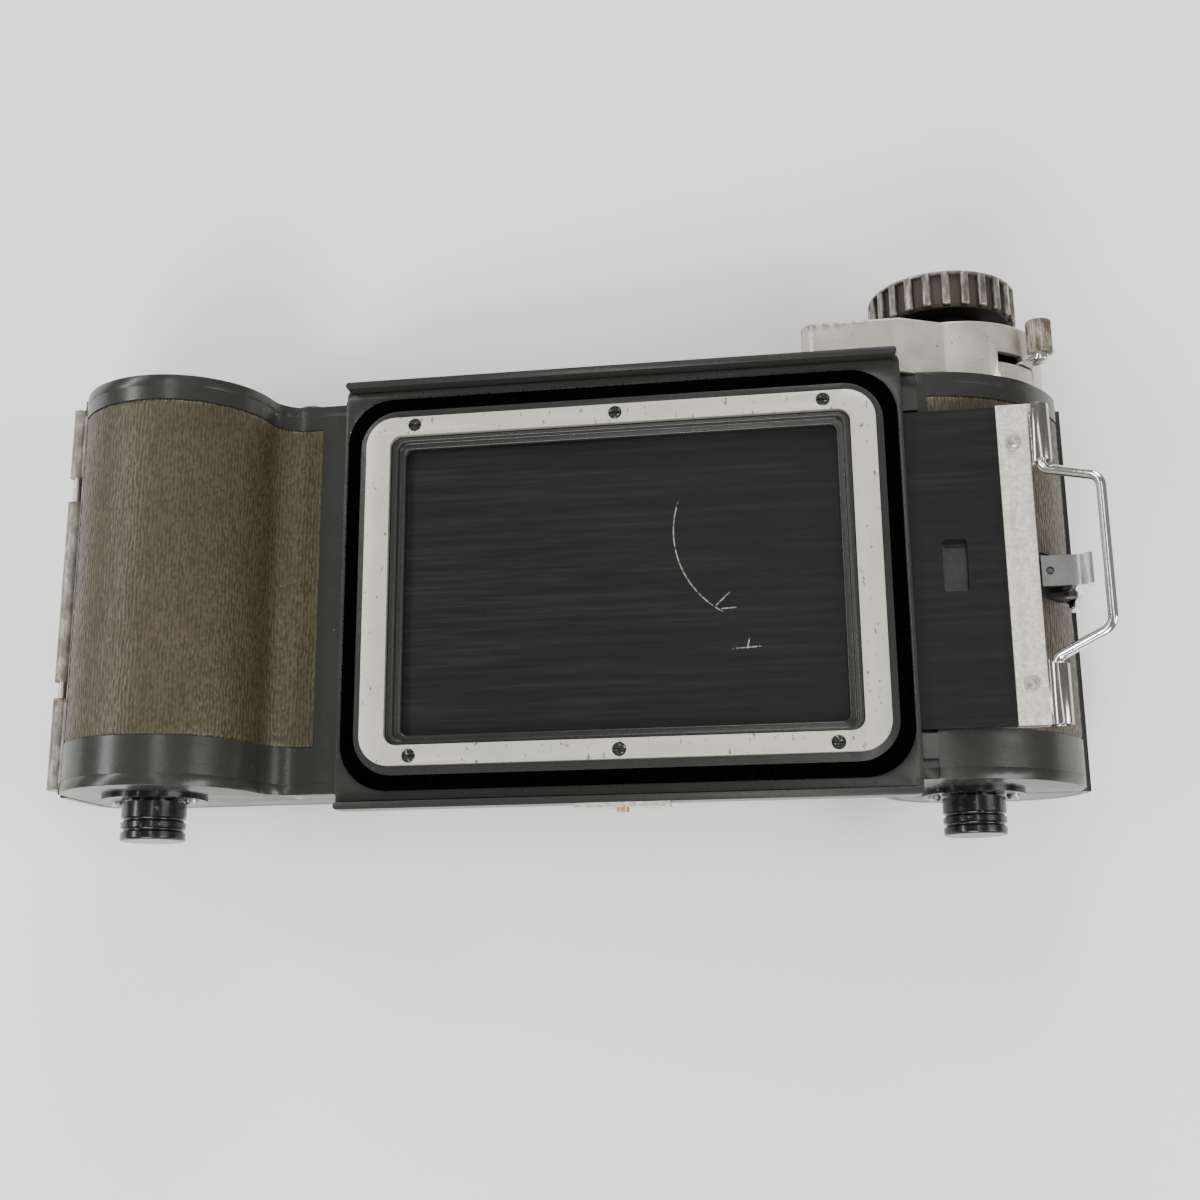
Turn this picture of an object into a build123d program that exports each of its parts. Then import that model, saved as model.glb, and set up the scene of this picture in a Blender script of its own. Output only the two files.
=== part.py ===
from build123d import *
import math
import os

os.makedirs("parts", exist_ok=True)

# Roll-film holder for a press camera, millimetres.
# +X is the film's travel, +Y runs along the spools to the winding knob, +Z points at the lens.
# The origin is the centre of the camera face, which is the front of the silver ring.

# Sizes that several sections share
end_half_y = 41.1
end_wall = 2.2
through = 60.0
slot_wide = 0.4
slot_deep = 0.35

# Camera face
ring_width = 104.0
ring_height = 72.4
ring_corner = 6.0
ring_thick = 1.2
ring_side = 5.0
ring_band = 3.95
window_width = ring_width - 2 * ring_side
window_height = ring_height - 2 * ring_band
window_corner = 2.5
ring_screw_inset_x = 10.2
ring_screw_inset_y = 1.8
ring_screw_x = ring_width / 2 - ring_screw_inset_x
ring_screw_y = ring_height / 2 - ring_screw_inset_y
ring_screw_head = 1.3
ring_screw_shank = 0.85
ring_screw_length = 6.0
ring_screw_seat = 0.95
ring_screw_sunk = 0.15
screw_gap = 0.1
screw_end_gap = 0.3

# Front flange
rim_ledge_x = 1.5
rim_ledge_y = 1.8
rim_half_x = ring_width / 2 + rim_ledge_x
rim_half_y = ring_height / 2 + rim_ledge_y
rim_corner = 8.0
groove_wide = 2.9
groove_corner = 9.5
groove_floor_z = -3.2
velvet_top_z = -1.5
velvet_gap = 0.1
flange_border_x = 0.9
flange_border_y = 1.8
flange_overhang = 1.6
flange_corner = 2.0
flange_half_x = rim_half_x + groove_wide + flange_border_x
flange_half_y = max(end_half_y + flange_overhang, rim_half_y + groove_wide + flange_border_y)
flange_top_z = -2.2
flange_back_z = -3.9
flange_step_z = -2.9
rail_offset = 0.5
rail_inset = 0.5
rail_inner_y = flange_half_y + rail_offset
rail_wide = 1.4
rail_top_z = 0.3
bezel_border_x = 2.75
bezel_border_y = 2.25
bezel_corner = 1.5
bezel_ledge = 1.3
ledge_corner = 2.0
bezel_step_z = -2.6
bezel_gap = 0.1
felt_inset = 1.2
felt_rim = 1.3
felt_lift = 0.1
felt_gap = 0.05
catch_length = 18.6
catch_x = 0.4
catch_thick = 0.9
catch_lift = 0.5
catch_stud_radius = 1.2
catch_stud_long = 0.8
catch_stud_z = -1.6

# Dark slide and its handle
slide_top_z = -4.05
slide_thick = 1.0
slide_half_y = 31.9
slide_gap = 0.15
slide_start_inset = 11.3
slide_start_x = slide_start_inset - flange_half_x
slide_start_gap = 1.0
slide_end_x = 81.0
interlock_x = 65.85
interlock_long = 10.4
interlock_wide = 4.7
interlock_corner = 0.7
handle_overlap = 5.6
handle_start_x = slide_end_x - handle_overlap
handle_sheet = 0.9
tube_reach = 2.5
tube_axis_x = slide_end_x + tube_reach
tube_radius = 2.2
tube_inner_y = 20.3
tube_window_gap = 0.4
tube_window_corner = 2.0
slide_rivet_inset = 2.9
slide_rivet_x = handle_start_x + slide_rivet_inset
slide_rivet_y = 24.0
slide_rivet_radius = 1.5
slide_rivet_shank = 0.9
slide_rivet_head = 0.5
slide_rivet_round = 0.4
bail_wire = 1.0
bail_gap = 0.06
bail_reach = 11.8
bail_foot_y = 18.9
bail_bar_half = 14.7
bail_rise = 33.8
bail_end_gap = 1.4

# Film gate
gate_width = 84.0
gate_height = 56.0
gate_back_z = -9.0
film_rail_z = -10.3
guide_rail_z = -11.0
gate_corner = 1.5
film_width = 61.5
film_rail_wide = 2.0
film_rail_inset = 0.8
guide_rail_wide = 1.2
guide_gap = 0.45
film_rail_end = 6.3
rail_half_x = flange_half_x - film_rail_end

# Case
shell_wall = 2.0
leather_thick = 0.5
leather_foot_border = 9.5
leather_knob_border = 5.1
leather_low_y = leather_foot_border - end_half_y
leather_high_y = end_half_y - leather_knob_border
supply_leather_start_x = -108.0
supply_leather_border = 5.2
takeup_leather_border = 1.7
supply_drum_x = -91.8
supply_drum_z = -0.4
supply_drum_radius = 20.1
supply_drum_start = 155.0
trough_z = -3.5
trough_blend = 6.0
takeup_crest_x = 60.5
takeup_crest_z = -5.9
takeup_curve = 32.0
takeup_side_x = 90.4
seam_z = -33.3
seam_gap = 0.3
ledge_top_z = -6.8
ledge_thick = 1.8

# Back cover
cover_left_x = -112.6
cover_top_z = 2.8
cover_flat_z = -20.5
cover_step_x = 49.0
cover_step_lean = 4.0
cover_crown_z = -49.0
cover_right_x = 92.4
cover_wall = 1.6
cover_gap = 0.4
cover_corner = 9.5
cover_step_corner = 7.0
cover_valley_corner = 16.0
cover_crown_corner = 14.8

# Hinge along the supply end
hinge_x = -112.6
hinge_z = 5.0
hinge_radius = 1.6
hinge_pin_radius = 0.8
hinge_inset = 1.2
hinge_half_y = end_half_y - hinge_inset
hinge_gap = 0.06
knuckle_low_y = -18.0
knuckle_high_y = 19.8
knuckle_gap_low = 3.5
knuckle_gap_high = 5.4
leaf_thick = 1.1

# Spools and their pull knobs
supply_x = -93.5
supply_z = 0.5
takeup_x = 68.4
takeup_z = -28.5
spool_half = 32.7
spool_flange = 12.6
spool_flange_thick = 1.0
spool_core = 5.8
spool_hole = 2.6
spool_key_slot = 1.6
spool_recess = 3.2
stud_radius = 2.4
stud_foot = 5.0
stud_tip_y = spool_half - spool_recess
escutcheon_radius = 10.3
escutcheon_thick = 1.0
escutcheon_screw_x = 7.8
escutcheon_screw_head = 1.3
escutcheon_screw_rise = 0.8
escutcheon_screw_shank = 0.8
escutcheon_screw_edge = 0.4
tongue_gap = 0.6
barrel_outer = 4.4
barrel_inner = 3.75
barrel_length = 6.5
barrel_end_y = -end_half_y - barrel_length
barrel_lip = 0.7
pull_shaft = 2.0
pull_shaft_gap = 0.1
pull_knob_radius = 6.3
pull_knob_bore = 4.7
pull_knob_lift = 0.4
pull_knob_long = 7.5
pull_knob_start_y = -end_half_y - escutcheon_thick - pull_knob_lift
pull_knob_end_y = pull_knob_start_y - pull_knob_long
pull_knob_cap = 1.7
pull_knob_round = 0.5
pull_groove = 0.45
pull_groove_step = 2.0
shoulder_inset = 1.5
shoulder_radius = 3.6
shoulder_thick = 1.0
pull_travel = 5.5
spring_wire = 0.24
spring_gap = 0.03
spring_end_gap = 0.02

# Guide rollers
roller_radius = 3.2
roller_end_gap = 4.9
roller_half = end_half_y - end_wall - roller_end_gap
roller_collar = 6.0
roller_waist = 0.4
roller_pin = 1.0
roller_gap = 0.06
supply_roller_x = -66.8
supply_roller_z = -9.2
takeup_roller_x = 56.0
takeup_roller_z = -13.6
cap_radius = 4.0
cap_rise = 1.6

# Winder on the +Y end
housing_screw_head = 1.3
housing_screw_deep = 0.8
housing_screw_shank = 0.8
housing_boss = 1.9
housing_rise = 11.9
housing_top_y = end_half_y + housing_rise
housing_wall = 1.6
housing_radius = 19.9
housing_left_x = 38.0
housing_front_z = -4.8
housing_back_z = -20.2
housing_corner = 3.5
housing_edge = 0.6
lobe_corner = 3.0
lobe_top_z = -12.0
housing_knee_x = 58.0
shaft_radius = 2.5
shaft_gap = 0.06
bushing_radius = 4.0
knob_radius = 15.7
knob_rise = 5.6
knob_height = 7.8
knob_low_y = housing_top_y + knob_rise
knob_high_y = knob_low_y + knob_height
knob_edge = 1.0
knob_flutes = 24
flute_deep = 0.9
knob_neck = 8.5
knob_neck_gap = 0.6
knob_recess = 5.2
knob_recess_deep = 1.2
ratchet_teeth = 20
ratchet_tip = 9.0
ratchet_deep = 1.1
ratchet_lift = 0.9
ratchet_low_y = end_half_y + ratchet_lift
ratchet_thick = 2.2
layer_gap = 0.5
lever_low_y = ratchet_low_y + ratchet_thick + layer_gap
lever_thick = 1.6
lever_bore_gap = 0.08
lever_half_wide = 1.7
lever_hub = 5.5
lever_reach = 23.6
lever_angle = 40.4
lever_travel = 14.0
lever_post = 2.6
post_ridges = 26
post_ridge_deep = 0.16
post_rise = 0.2
post_top_y = housing_top_y + post_rise
gear_low_y = lever_low_y + lever_thick + layer_gap
gear_thick = 1.6
gear_module = 0.4
pinion_teeth = 20
idler_teeth = 50
idler_pinion_teeth = 10
dial_teeth = 24
gear_backlash = 0.12
dial_direction = 143.4
post_radius = 1.0
dial_radius = 6.4
window_radius = 2.2
pawl_reach = 15.0
pawl_angle = 45.0
pawl_tip_angle = 8.0
pawl_tip_gap = 0.4

# Cover latch
latch_pin_x = 88.8
latch_pin_z = -17.6
latch_half_y = 3.1
latch_tab_start_x = 83.0
latch_tab_end_x = 92.6
latch_tab_z = -12.85
latch_sheet = 1.1
latch_arm_x = 91.2
latch_foot_z = -36.2
latch_knuckle = 1.6
latch_pin = 0.8
latch_ear = 1.0

# Pressure plate
plate_half_x = 47.0
plate_half_y = 30.9
plate_front_z = -10.6
plate_thick = 1.4
leaf_spring_half = 30.0
leaf_spring_wide = 10.0
leaf_spring_y = 16.0
leaf_spring_sheet = 0.4
leaf_spring_gap = 0.15


def save(name, shape):
    """Write one sub-part, as a compound when it holds several solids."""
    export_step(shape, os.path.join("parts", name + ".step"))


def slab(outline, y_low, y_high):
    """Extrude an outline drawn in X and Z from y_low to y_high."""
    return extrude(Plane.XZ.offset(-y_high) * outline, amount=y_high - y_low)


def plate(outline, z_low, z_high):
    """Extrude an outline drawn in X and Y from z_low to z_high."""
    return extrude(Pos(0, 0, z_low) * outline, amount=z_high - z_low)


def rod(x, z, radius, y_low, y_high):
    return slab(Pos(x, z) * Circle(radius), y_low, y_high)


def block(x_low, x_high, y_low, y_high, z_low, z_high):
    size = (x_high - x_low, y_high - y_low, z_high - z_low)
    centre = ((x_low + x_high) / 2, (y_low + y_high) / 2, (z_low + z_high) / 2)
    return Pos(*centre) * Box(*size)


def bar(x_low, x_high, z_low, z_high):
    """A rectangle in the X and Z drawing plane."""
    return Pos((x_low + x_high) / 2, (z_low + z_high) / 2) * Rectangle(x_high - x_low, z_high - z_low)


def polar(x, z, reach, degrees):
    """The point at a distance and an angle from (x, z), from +X towards +Z."""
    turn = math.radians(degrees)
    return (x + reach * math.cos(turn), z + reach * math.sin(turn))


def slot_cut(x, y_low, y_high, z, reach):
    """A screwdriver slot across a head that faces along Y."""
    return block(x - reach, x + reach, y_low, y_high, z - slot_wide / 2, z + slot_wide / 2)


def polygon(*points):
    return make_face(Polyline(*points, close=True))


def joined(solids):
    """Several separate solids of one node."""
    return Compound(children=list(solids))


def closed_face(upper, lower):
    """The face between two open lines whose ends are bridged by straight edges."""
    first = Line(upper @ 0, lower @ 0)
    last = Line(upper @ 1, lower @ 1)
    return make_face(upper.edges() + lower.edges() + first.edges() + last.edges())


# ---- Camera face and flange ----

def ring_screw_places():
    return [(x, y) for x in (-ring_screw_x, 0, ring_screw_x) for y in (-ring_screw_y, ring_screw_y)]


def gate_ring():
    outline = RectangleRounded(ring_width, ring_height, ring_corner)
    outline -= RectangleRounded(window_width, window_height, window_corner)
    ring = plate(outline, -ring_thick, 0)
    for x, y in ring_screw_places():
        ring -= Pos(x, y, 0) * Cylinder(ring_screw_head + screw_gap, 2 * ring_screw_seat)
        ring -= Pos(x, y, 0) * Cylinder(ring_screw_shank + screw_gap, through)
    return ring


def ring_screw():
    head = plate(Circle(ring_screw_head), -ring_screw_seat, -ring_screw_sunk)
    shank = plate(Circle(ring_screw_shank), -ring_screw_length, -ring_screw_seat)
    slot_z = -ring_screw_sunk - slot_deep
    slot = block(-ring_screw_head, ring_screw_head, -slot_wide / 2, slot_wide / 2, slot_z, 0)
    return head + shank - slot


def ring_screws():
    return joined([Pos(x, y, 0) * ring_screw() for x, y in ring_screw_places()])


def front_flange():
    step_outline = RectangleRounded(2 * flange_half_x, 2 * (rail_inner_y + rail_wide), flange_corner)
    step = plate(step_outline, flange_back_z, flange_step_z)
    band_outline = RectangleRounded(2 * flange_half_x, 2 * flange_half_y, flange_corner)
    band = plate(band_outline, flange_step_z, flange_top_z)
    groove = RectangleRounded(2 * (rim_half_x + groove_wide), 2 * (rim_half_y + groove_wide), groove_corner)
    rim = RectangleRounded(2 * rim_half_x, 2 * rim_half_y, rim_corner)
    flange = step + band - plate(groove, groove_floor_z, 0) + plate(rim, flange_back_z, -ring_thick)
    for side in (-1, 1):
        outline = SlotOverall(2 * (flange_half_x - rail_inset), rail_wide)
        rail = Pos(0, side * (rail_inner_y + rail_wide / 2)) * outline
        flange += plate(rail, flange_step_z, rail_top_z)
    flange -= plate(RectangleRounded(window_width, window_height, window_corner), flange_back_z, 0)
    flange -= felt_room(0, flange_back_z)
    for x, y in ring_screw_places():
        flange -= Pos(x, y, 0) * Cylinder(ring_screw_shank + screw_gap, through)
    return flange


def felt_room(gap, low_z):
    """The room above the slide, under the take-up side of the rim, less a gap on each side."""
    start_x = window_width / 2 + felt_inset + gap
    end_x = rim_half_x - felt_rim - gap
    return block(start_x, end_x, -slide_half_y, slide_half_y, low_z, groove_floor_z + felt_lift - gap)


def slide_felt():
    return felt_room(felt_gap, (flange_back_z + slide_top_z) / 2)


def groove_velvet():
    outer_x = rim_half_x + groove_wide - velvet_gap
    outer_y = rim_half_y + groove_wide - velvet_gap
    outer = RectangleRounded(2 * outer_x, 2 * outer_y, groove_corner - velvet_gap)
    inner_x = rim_half_x + velvet_gap
    inner_y = rim_half_y + velvet_gap
    inner = RectangleRounded(2 * inner_x, 2 * inner_y, rim_corner + velvet_gap)
    return plate(outer - inner, groove_floor_z, velvet_top_z)


def window_bezel():
    outer = RectangleRounded(window_width, window_height, window_corner)
    opening_x = window_width - 2 * bezel_border_x
    opening_y = window_height - 2 * bezel_border_y
    low = outer - RectangleRounded(opening_x, opening_y, bezel_corner)
    high = outer - RectangleRounded(opening_x + 2 * bezel_ledge, opening_y + 2 * bezel_ledge, ledge_corner)
    return plate(low, flange_back_z, bezel_step_z) + plate(high, bezel_step_z, -ring_thick - bezel_gap)


def catch_plate():
    outer_y = rail_inner_y + rail_wide
    return block(catch_x - catch_length / 2, catch_x + catch_length / 2,
                 -outer_y - catch_thick, -outer_y, flange_back_z + catch_lift, rail_top_z)


def catch_stud():
    start_y = -(rail_inner_y + rail_wide + catch_thick)
    return rod(catch_x, catch_stud_z, catch_stud_radius, start_y - catch_stud_long, start_y)


# ---- Film gate ----

def gate_plate():
    body = block(-flange_half_x, flange_half_x, end_wall - end_half_y, end_half_y - end_wall,
                 gate_back_z, flange_back_z)
    slot_low_z = slide_top_z - slide_thick - slide_gap
    slot_half = slide_half_y + slide_gap
    body -= block(slide_start_x - slide_start_gap, flange_half_x + 1, -slot_half, slot_half,
                  slot_low_z, flange_back_z)
    body -= plate(RectangleRounded(gate_width, gate_height, gate_corner), gate_back_z - 1, 0)
    for x, y in ring_screw_places():
        body -= Pos(x, y, 0) * Cylinder(ring_screw_shank + screw_gap, 2 * (ring_screw_length + screw_end_gap))
    return body


def film_rails():
    guide_y = film_width / 2 + guide_gap
    film_y = guide_y - film_rail_inset
    rails = []
    for side in (-1, 1):
        low, high = sorted((side * (film_y - film_rail_wide), side * film_y))
        rails.append(block(-rail_half_x, rail_half_x, low, high, film_rail_z, gate_back_z))
        low, high = sorted((side * guide_y, side * (guide_y + guide_rail_wide)))
        rails.append(block(-rail_half_x, rail_half_x, low, high, guide_rail_z, gate_back_z))
    return joined(rails)


# ---- Case outlines, drawn in X and Z ----

def supply_line(depth):
    """The supply drum and trough, at a depth under their outer surface."""
    blend_z = trough_z + trough_blend
    rise = blend_z - supply_drum_z
    reach = supply_drum_radius + trough_blend
    run = math.sqrt(reach**2 - rise**2)
    blend_x = supply_drum_x + run
    join = math.degrees(math.atan2(rise, run))
    drum = CenterArc((supply_drum_x, supply_drum_z), supply_drum_radius - depth,
                     supply_drum_start, join - supply_drum_start)
    blend = CenterArc((blend_x, blend_z), trough_blend + depth, 180 + join, 90 - join)
    trough = Line((blend_x, trough_z - depth), (-flange_half_x, trough_z - depth))
    return Wire(drum.edges() + blend.edges() + trough.edges())


def takeup_line(depth, end_z=seam_z):
    """The take-up drum, from its crest beside the flange down to the seam."""
    centre_z = takeup_crest_z - takeup_curve
    side_x = takeup_side_x - depth
    stop = math.degrees(math.acos((side_x - takeup_crest_x) / (takeup_curve - depth)))
    drum = CenterArc((takeup_crest_x, centre_z), takeup_curve - depth, 90, stop - 90)
    side = Line(drum @ 1, (side_x, end_z))
    return Wire(drum.edges() + side.edges())


def cover_line(depth):
    """The back cover's profile, at a depth inside its outer surface."""
    lean = math.atan2(cover_step_lean, cover_flat_z - cover_crown_z)
    shift = depth / math.cos(lean)
    flat_z = cover_flat_z + depth
    crown_z = cover_crown_z + depth
    upper_x = cover_step_x + shift - depth * math.tan(lean)
    lower_x = cover_step_x + cover_step_lean + shift - depth * math.tan(lean)
    points = [(cover_left_x + depth, cover_top_z), (cover_left_x + depth, flat_z), (upper_x, flat_z),
              (lower_x, crown_z), (cover_right_x - depth, crown_z), (cover_right_x - depth, seam_z - seam_gap)]
    radii = [cover_corner - depth, cover_step_corner + depth,
             cover_valley_corner - depth, cover_crown_corner - depth]
    return FilletPolyline(*points, radius=radii)


def cover_inside(depth):
    """Everything above the cover's profile, as a closed face."""
    line = cover_line(depth)
    roof = Polyline(line @ 1, (cover_right_x - depth, 40), (cover_left_x + depth, 40), line @ 0)
    return make_face(line.edges() + roof.edges())


def under_front():
    """Everything below the case's front outline, as a closed face."""
    supply = supply_line(0)
    takeup = takeup_line(0)
    left_x = cover_left_x + cover_wall + 0.6
    floor_z = cover_crown_z - 10
    start = supply @ 0
    middle = Polyline(supply @ 1, (-flange_half_x, flange_back_z), (flange_half_x, flange_back_z),
                      (flange_half_x, ledge_top_z), (takeup_crest_x, ledge_top_z), takeup @ 0)
    under = Polyline(takeup @ 1, (takeup_side_x, floor_z), (left_x, floor_z), (left_x, start.Y), start)
    return make_face(supply.edges() + middle.edges() + takeup.edges() + under.edges())


def end_outline():
    above_seam = bar(-200, 200, seam_z, 60)
    return under_front() & cover_inside(cover_wall + cover_gap) & above_seam


def end_bores():
    """Roller pins pass through both end walls."""
    pins = Pos(supply_roller_x, supply_roller_z) * Circle(roller_pin)
    return pins + Pos(takeup_roller_x, takeup_roller_z) * Circle(roller_pin)


def foot_end_wall():
    tongue = Pos(takeup_x, takeup_z) * Circle(escutcheon_radius + tongue_gap)
    outline = end_outline() + (tongue & bar(-200, 200, -60, seam_z + 1)) - end_bores()
    wall = slab(outline, -end_half_y, end_wall - end_half_y)
    for x, z in ((supply_x, supply_z), (takeup_x, takeup_z)):
        wall -= rod(x, z, barrel_outer, -end_half_y - 1, end_wall - end_half_y + 1)
    return wall


def knob_end_wall():
    wall = slab(end_outline() - end_bores(), end_half_y - end_wall, end_half_y)
    wall -= rod(takeup_x, takeup_z, bushing_radius, end_half_y - end_wall - 1, end_half_y + 1)
    return wall


def supply_leather_face():
    """The covering on the supply drum stops short of the hinge and of the flange."""
    band = closed_face(supply_line(0), supply_line(leather_thick))
    return band & bar(supply_leather_start_x, -flange_half_x - supply_leather_border, -through, through)


def supply_shell():
    shell = slab(closed_face(supply_line(0), supply_line(shell_wall)), end_wall - end_half_y, end_half_y - end_wall)
    top_x, top_z = polar(supply_drum_x, supply_drum_z, supply_drum_radius, supply_drum_start)
    in_x, in_z = polar(supply_drum_x, supply_drum_z, supply_drum_radius - shell_wall, supply_drum_start)
    lip_z = hinge_z + leaf_thick
    lip = polygon((top_x, top_z), (in_x, in_z), (in_x, lip_z), (top_x, lip_z))
    shell += slab(lip, end_wall - end_half_y, end_half_y - end_wall)
    return shell - slab(supply_leather_face(), leather_low_y, leather_high_y)


def supply_leatherette():
    return slab(supply_leather_face(), leather_low_y, leather_high_y)


def takeup_leather_solid():
    band = closed_face(takeup_line(0), takeup_line(leather_thick))
    band &= bar(takeup_crest_x + takeup_leather_border, 100, -30, 0)
    skin = slab(band, leather_low_y, leather_high_y)
    return skin - block(60, interlock_x + 4, -interlock_long / 2 - 1.2, interlock_long / 2 + 1.2, -20, 0)


def interlock_well():
    """The stepped pocket that the slide's interlock window uncovers."""
    half = interlock_long / 2 + 0.5
    side = interlock_wide / 2 + 0.6
    well = block(interlock_x - side, interlock_x + side, -half, half, takeup_crest_z - 1.0, 0)
    return well + block(interlock_x - side + 1.4, interlock_x + side, -half + 1.6, half - 1.2,
                        takeup_crest_z - 1.5, 0)


def takeup_shell():
    y_low = end_wall - end_half_y
    y_high = end_half_y - end_wall
    shell = slab(closed_face(takeup_line(0), takeup_line(shell_wall)), y_low, y_high)
    shell += block(flange_half_x, takeup_crest_x + 0.01, y_low, y_high, ledge_top_z - ledge_thick, ledge_top_z)
    for side in (-1, 1):
        low, high = sorted((side * (slide_half_y + 0.7), side * (slide_half_y + 5.5)))
        shell += block(flange_half_x + 0.2, takeup_crest_x, low, high, ledge_top_z, -4.6)
    shell -= takeup_leather_solid()
    shell -= interlock_well()
    return shell + latch_ears()


def ear_outline():
    """One latch ear, cut to the drum that it stands on."""
    eye = Pos(latch_pin_x, latch_pin_z) * Circle(1.7)
    foot_radius = takeup_curve - 2 * leather_thick
    foot_a = polar(takeup_crest_x, takeup_crest_z - takeup_curve, foot_radius, 42)
    foot_b = polar(takeup_crest_x, takeup_crest_z - takeup_curve, foot_radius, 30)
    web = polygon(foot_a, (latch_pin_x - 1.2, latch_pin_z + 1.2), (latch_pin_x + 1.2, latch_pin_z - 1.2), foot_b)
    drum = Pos(takeup_crest_x, takeup_crest_z - takeup_curve) * Circle(takeup_curve - 1.5 * leather_thick)
    return eye + web - drum


def latch_ears():
    ears = None
    for low, high in ((-latch_half_y - 0.2 - latch_ear, -latch_half_y - 0.2),
                      (latch_half_y + 0.2, latch_half_y + 0.2 + latch_ear)):
        ear = slab(ear_outline(), low, high) - rod(latch_pin_x, latch_pin_z, latch_pin, low - 1, high + 1)
        ears = ear if ears is None else ears + ear
    return ears


def takeup_leatherette():
    skin = takeup_leather_solid()
    drum_box = block(80, 92, -latch_half_y - 0.3 - latch_ear, latch_half_y + 0.3 + latch_ear, -30, -10)
    return skin - drum_box


# ---- Pull knobs on the -Y end ----

def escutcheon(x, z):
    disc = rod(x, z, escutcheon_radius, -end_half_y - escutcheon_thick, -end_half_y)
    barrel = rod(x, z, barrel_outer, barrel_end_y, end_wall - end_half_y)
    body = disc + barrel - rod(x, z, barrel_inner, barrel_end_y + barrel_lip, 0)
    body -= rod(x, z, pull_shaft + pull_shaft_gap, barrel_end_y - 1, 0)
    for side in (-1, 1):
        body -= rod(x + side * escutcheon_screw_x, z, escutcheon_screw_shank, -2 * end_half_y, 0)
    return body


def escutcheon_screws():
    screws = []
    start_y = -end_half_y - escutcheon_thick
    for x, z in ((supply_x, supply_z), (takeup_x, takeup_z)):
        for side in (-1, 1):
            place_x = x + side * escutcheon_screw_x
            head_y = start_y - escutcheon_screw_rise
            head = rod(place_x, z, escutcheon_screw_head, head_y, start_y)
            head = chamfer(head.edges().group_by(Axis.Y)[0], escutcheon_screw_edge)
            slot = slot_cut(place_x, head_y - 1, head_y + slot_deep, z, 2 * escutcheon_screw_head)
            shank = rod(place_x, z, escutcheon_screw_shank, start_y, -end_half_y)
            screws.append(head + shank - slot)
    return joined(screws)


def pull_knob(x, z):
    knob = rod(x, z, pull_knob_radius, pull_knob_end_y, pull_knob_start_y)
    knob = fillet(knob.edges().group_by(Axis.Y)[0], pull_knob_round)
    knob -= rod(x, z, pull_knob_bore, pull_knob_end_y + pull_knob_cap, pull_knob_start_y + 1)
    for step in (1, 2):
        centre = (x, pull_knob_end_y + step * pull_groove_step, z)
        knob -= Plane(origin=centre, z_dir=(0, 1, 0)) * Torus(pull_knob_radius, pull_groove)
    shoulder_y = shoulder_inset - end_half_y
    knob += rod(x, z, pull_shaft, pull_knob_end_y + pull_knob_cap, shoulder_y + shoulder_thick)
    knob += rod(x, z, shoulder_radius, shoulder_y, shoulder_y + shoulder_thick)
    knob += rod(x, z, stud_radius, shoulder_y + shoulder_thick, -stud_tip_y)
    return knob


def knob_spring(x, z):
    """The return spring, closed up in the room that a fully pulled knob leaves it."""
    seat_y = barrel_end_y + barrel_lip
    pulled_y = shoulder_inset - end_half_y - pull_travel
    height = pulled_y - seat_y - 2 * (spring_wire + spring_end_gap)
    coils = Helix(2 * spring_wire + spring_gap, height, (pull_shaft + barrel_inner) / 2)
    profile = Plane(origin=coils @ 0, z_dir=coils % 0) * Circle(spring_wire)
    spring = sweep(profile, path=coils)
    start_y = seat_y + spring_wire + spring_end_gap
    return Plane(origin=(x, start_y, z), z_dir=(0, 1, 0)) * spring


def supply_stud():
    inner_y = end_half_y - end_wall
    foot = rod(supply_x, supply_z, stud_foot, inner_y - 1, inner_y)
    return rod(supply_x, supply_z, stud_radius, stud_tip_y, inner_y) + foot


# ---- Rollers ----

def roller(x, z):
    body = rod(x, z, roller_radius, -roller_half, roller_half)
    waist = roller_half - roller_collar
    body -= rod(x, z, roller_radius + 1, -waist, waist) - rod(x, z, roller_radius - roller_waist, -waist, waist)
    return body - rod(x, z, roller_pin + roller_gap, -roller_half, roller_half)


def roller_pins():
    places = ((supply_roller_x, supply_roller_z), (takeup_roller_x, takeup_roller_z))
    return joined([rod(x, z, roller_pin, -end_half_y, end_half_y) for x, z in places])


def roller_cap():
    cap = rod(supply_roller_x, supply_roller_z, cap_radius, end_half_y, end_half_y + cap_rise)
    return fillet(cap.edges().group_by(Axis.Y)[-1], 0.9 * cap_rise)


# ---- Dark slide ----

def dark_slide():
    sheet = block(slide_start_x, slide_end_x, -slide_half_y, slide_half_y, slide_top_z - slide_thick, slide_top_z)
    window = Pos(interlock_x, 0) * RectangleRounded(interlock_wide, interlock_long, interlock_corner)
    sheet -= plate(window, -10, 0)
    for side in (-1, 1):
        sheet -= Pos(slide_rivet_x, side * slide_rivet_y, slide_top_z) * Cylinder(slide_rivet_shank, 6)
    return sheet


def tube_axis_z():
    return slide_top_z - slide_thick / 2


def slide_handle():
    centre_z = tube_axis_z()
    half = slide_thick / 2 + handle_sheet
    outline = bar(handle_start_x, tube_axis_x, centre_z - half, centre_z + half)
    handle = slab(outline, -slide_half_y, slide_half_y)
    handle -= block(handle_start_x - 1, slide_end_x, -slide_half_y - 1, slide_half_y + 1,
                    slide_top_z - slide_thick, slide_top_z)
    handle += rod(tube_axis_x, centre_z, tube_radius, -slide_half_y, slide_half_y)
    cut_x = slide_end_x + tube_window_gap
    cut = Pos(cut_x + 5, 0) * RectangleRounded(10, 2 * tube_inner_y, tube_window_corner)
    handle -= plate(cut, -12, 2)
    handle -= block(cut_x + 3, cut_x + 10, -tube_inner_y, tube_inner_y, -12, 2)
    handle -= rod(tube_axis_x, centre_z, bail_wire + bail_gap, -60, 60)
    for side in (-1, 1):
        handle -= Pos(slide_rivet_x, side * slide_rivet_y, slide_top_z) * Cylinder(slide_rivet_shank, 6)
    return handle


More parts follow.
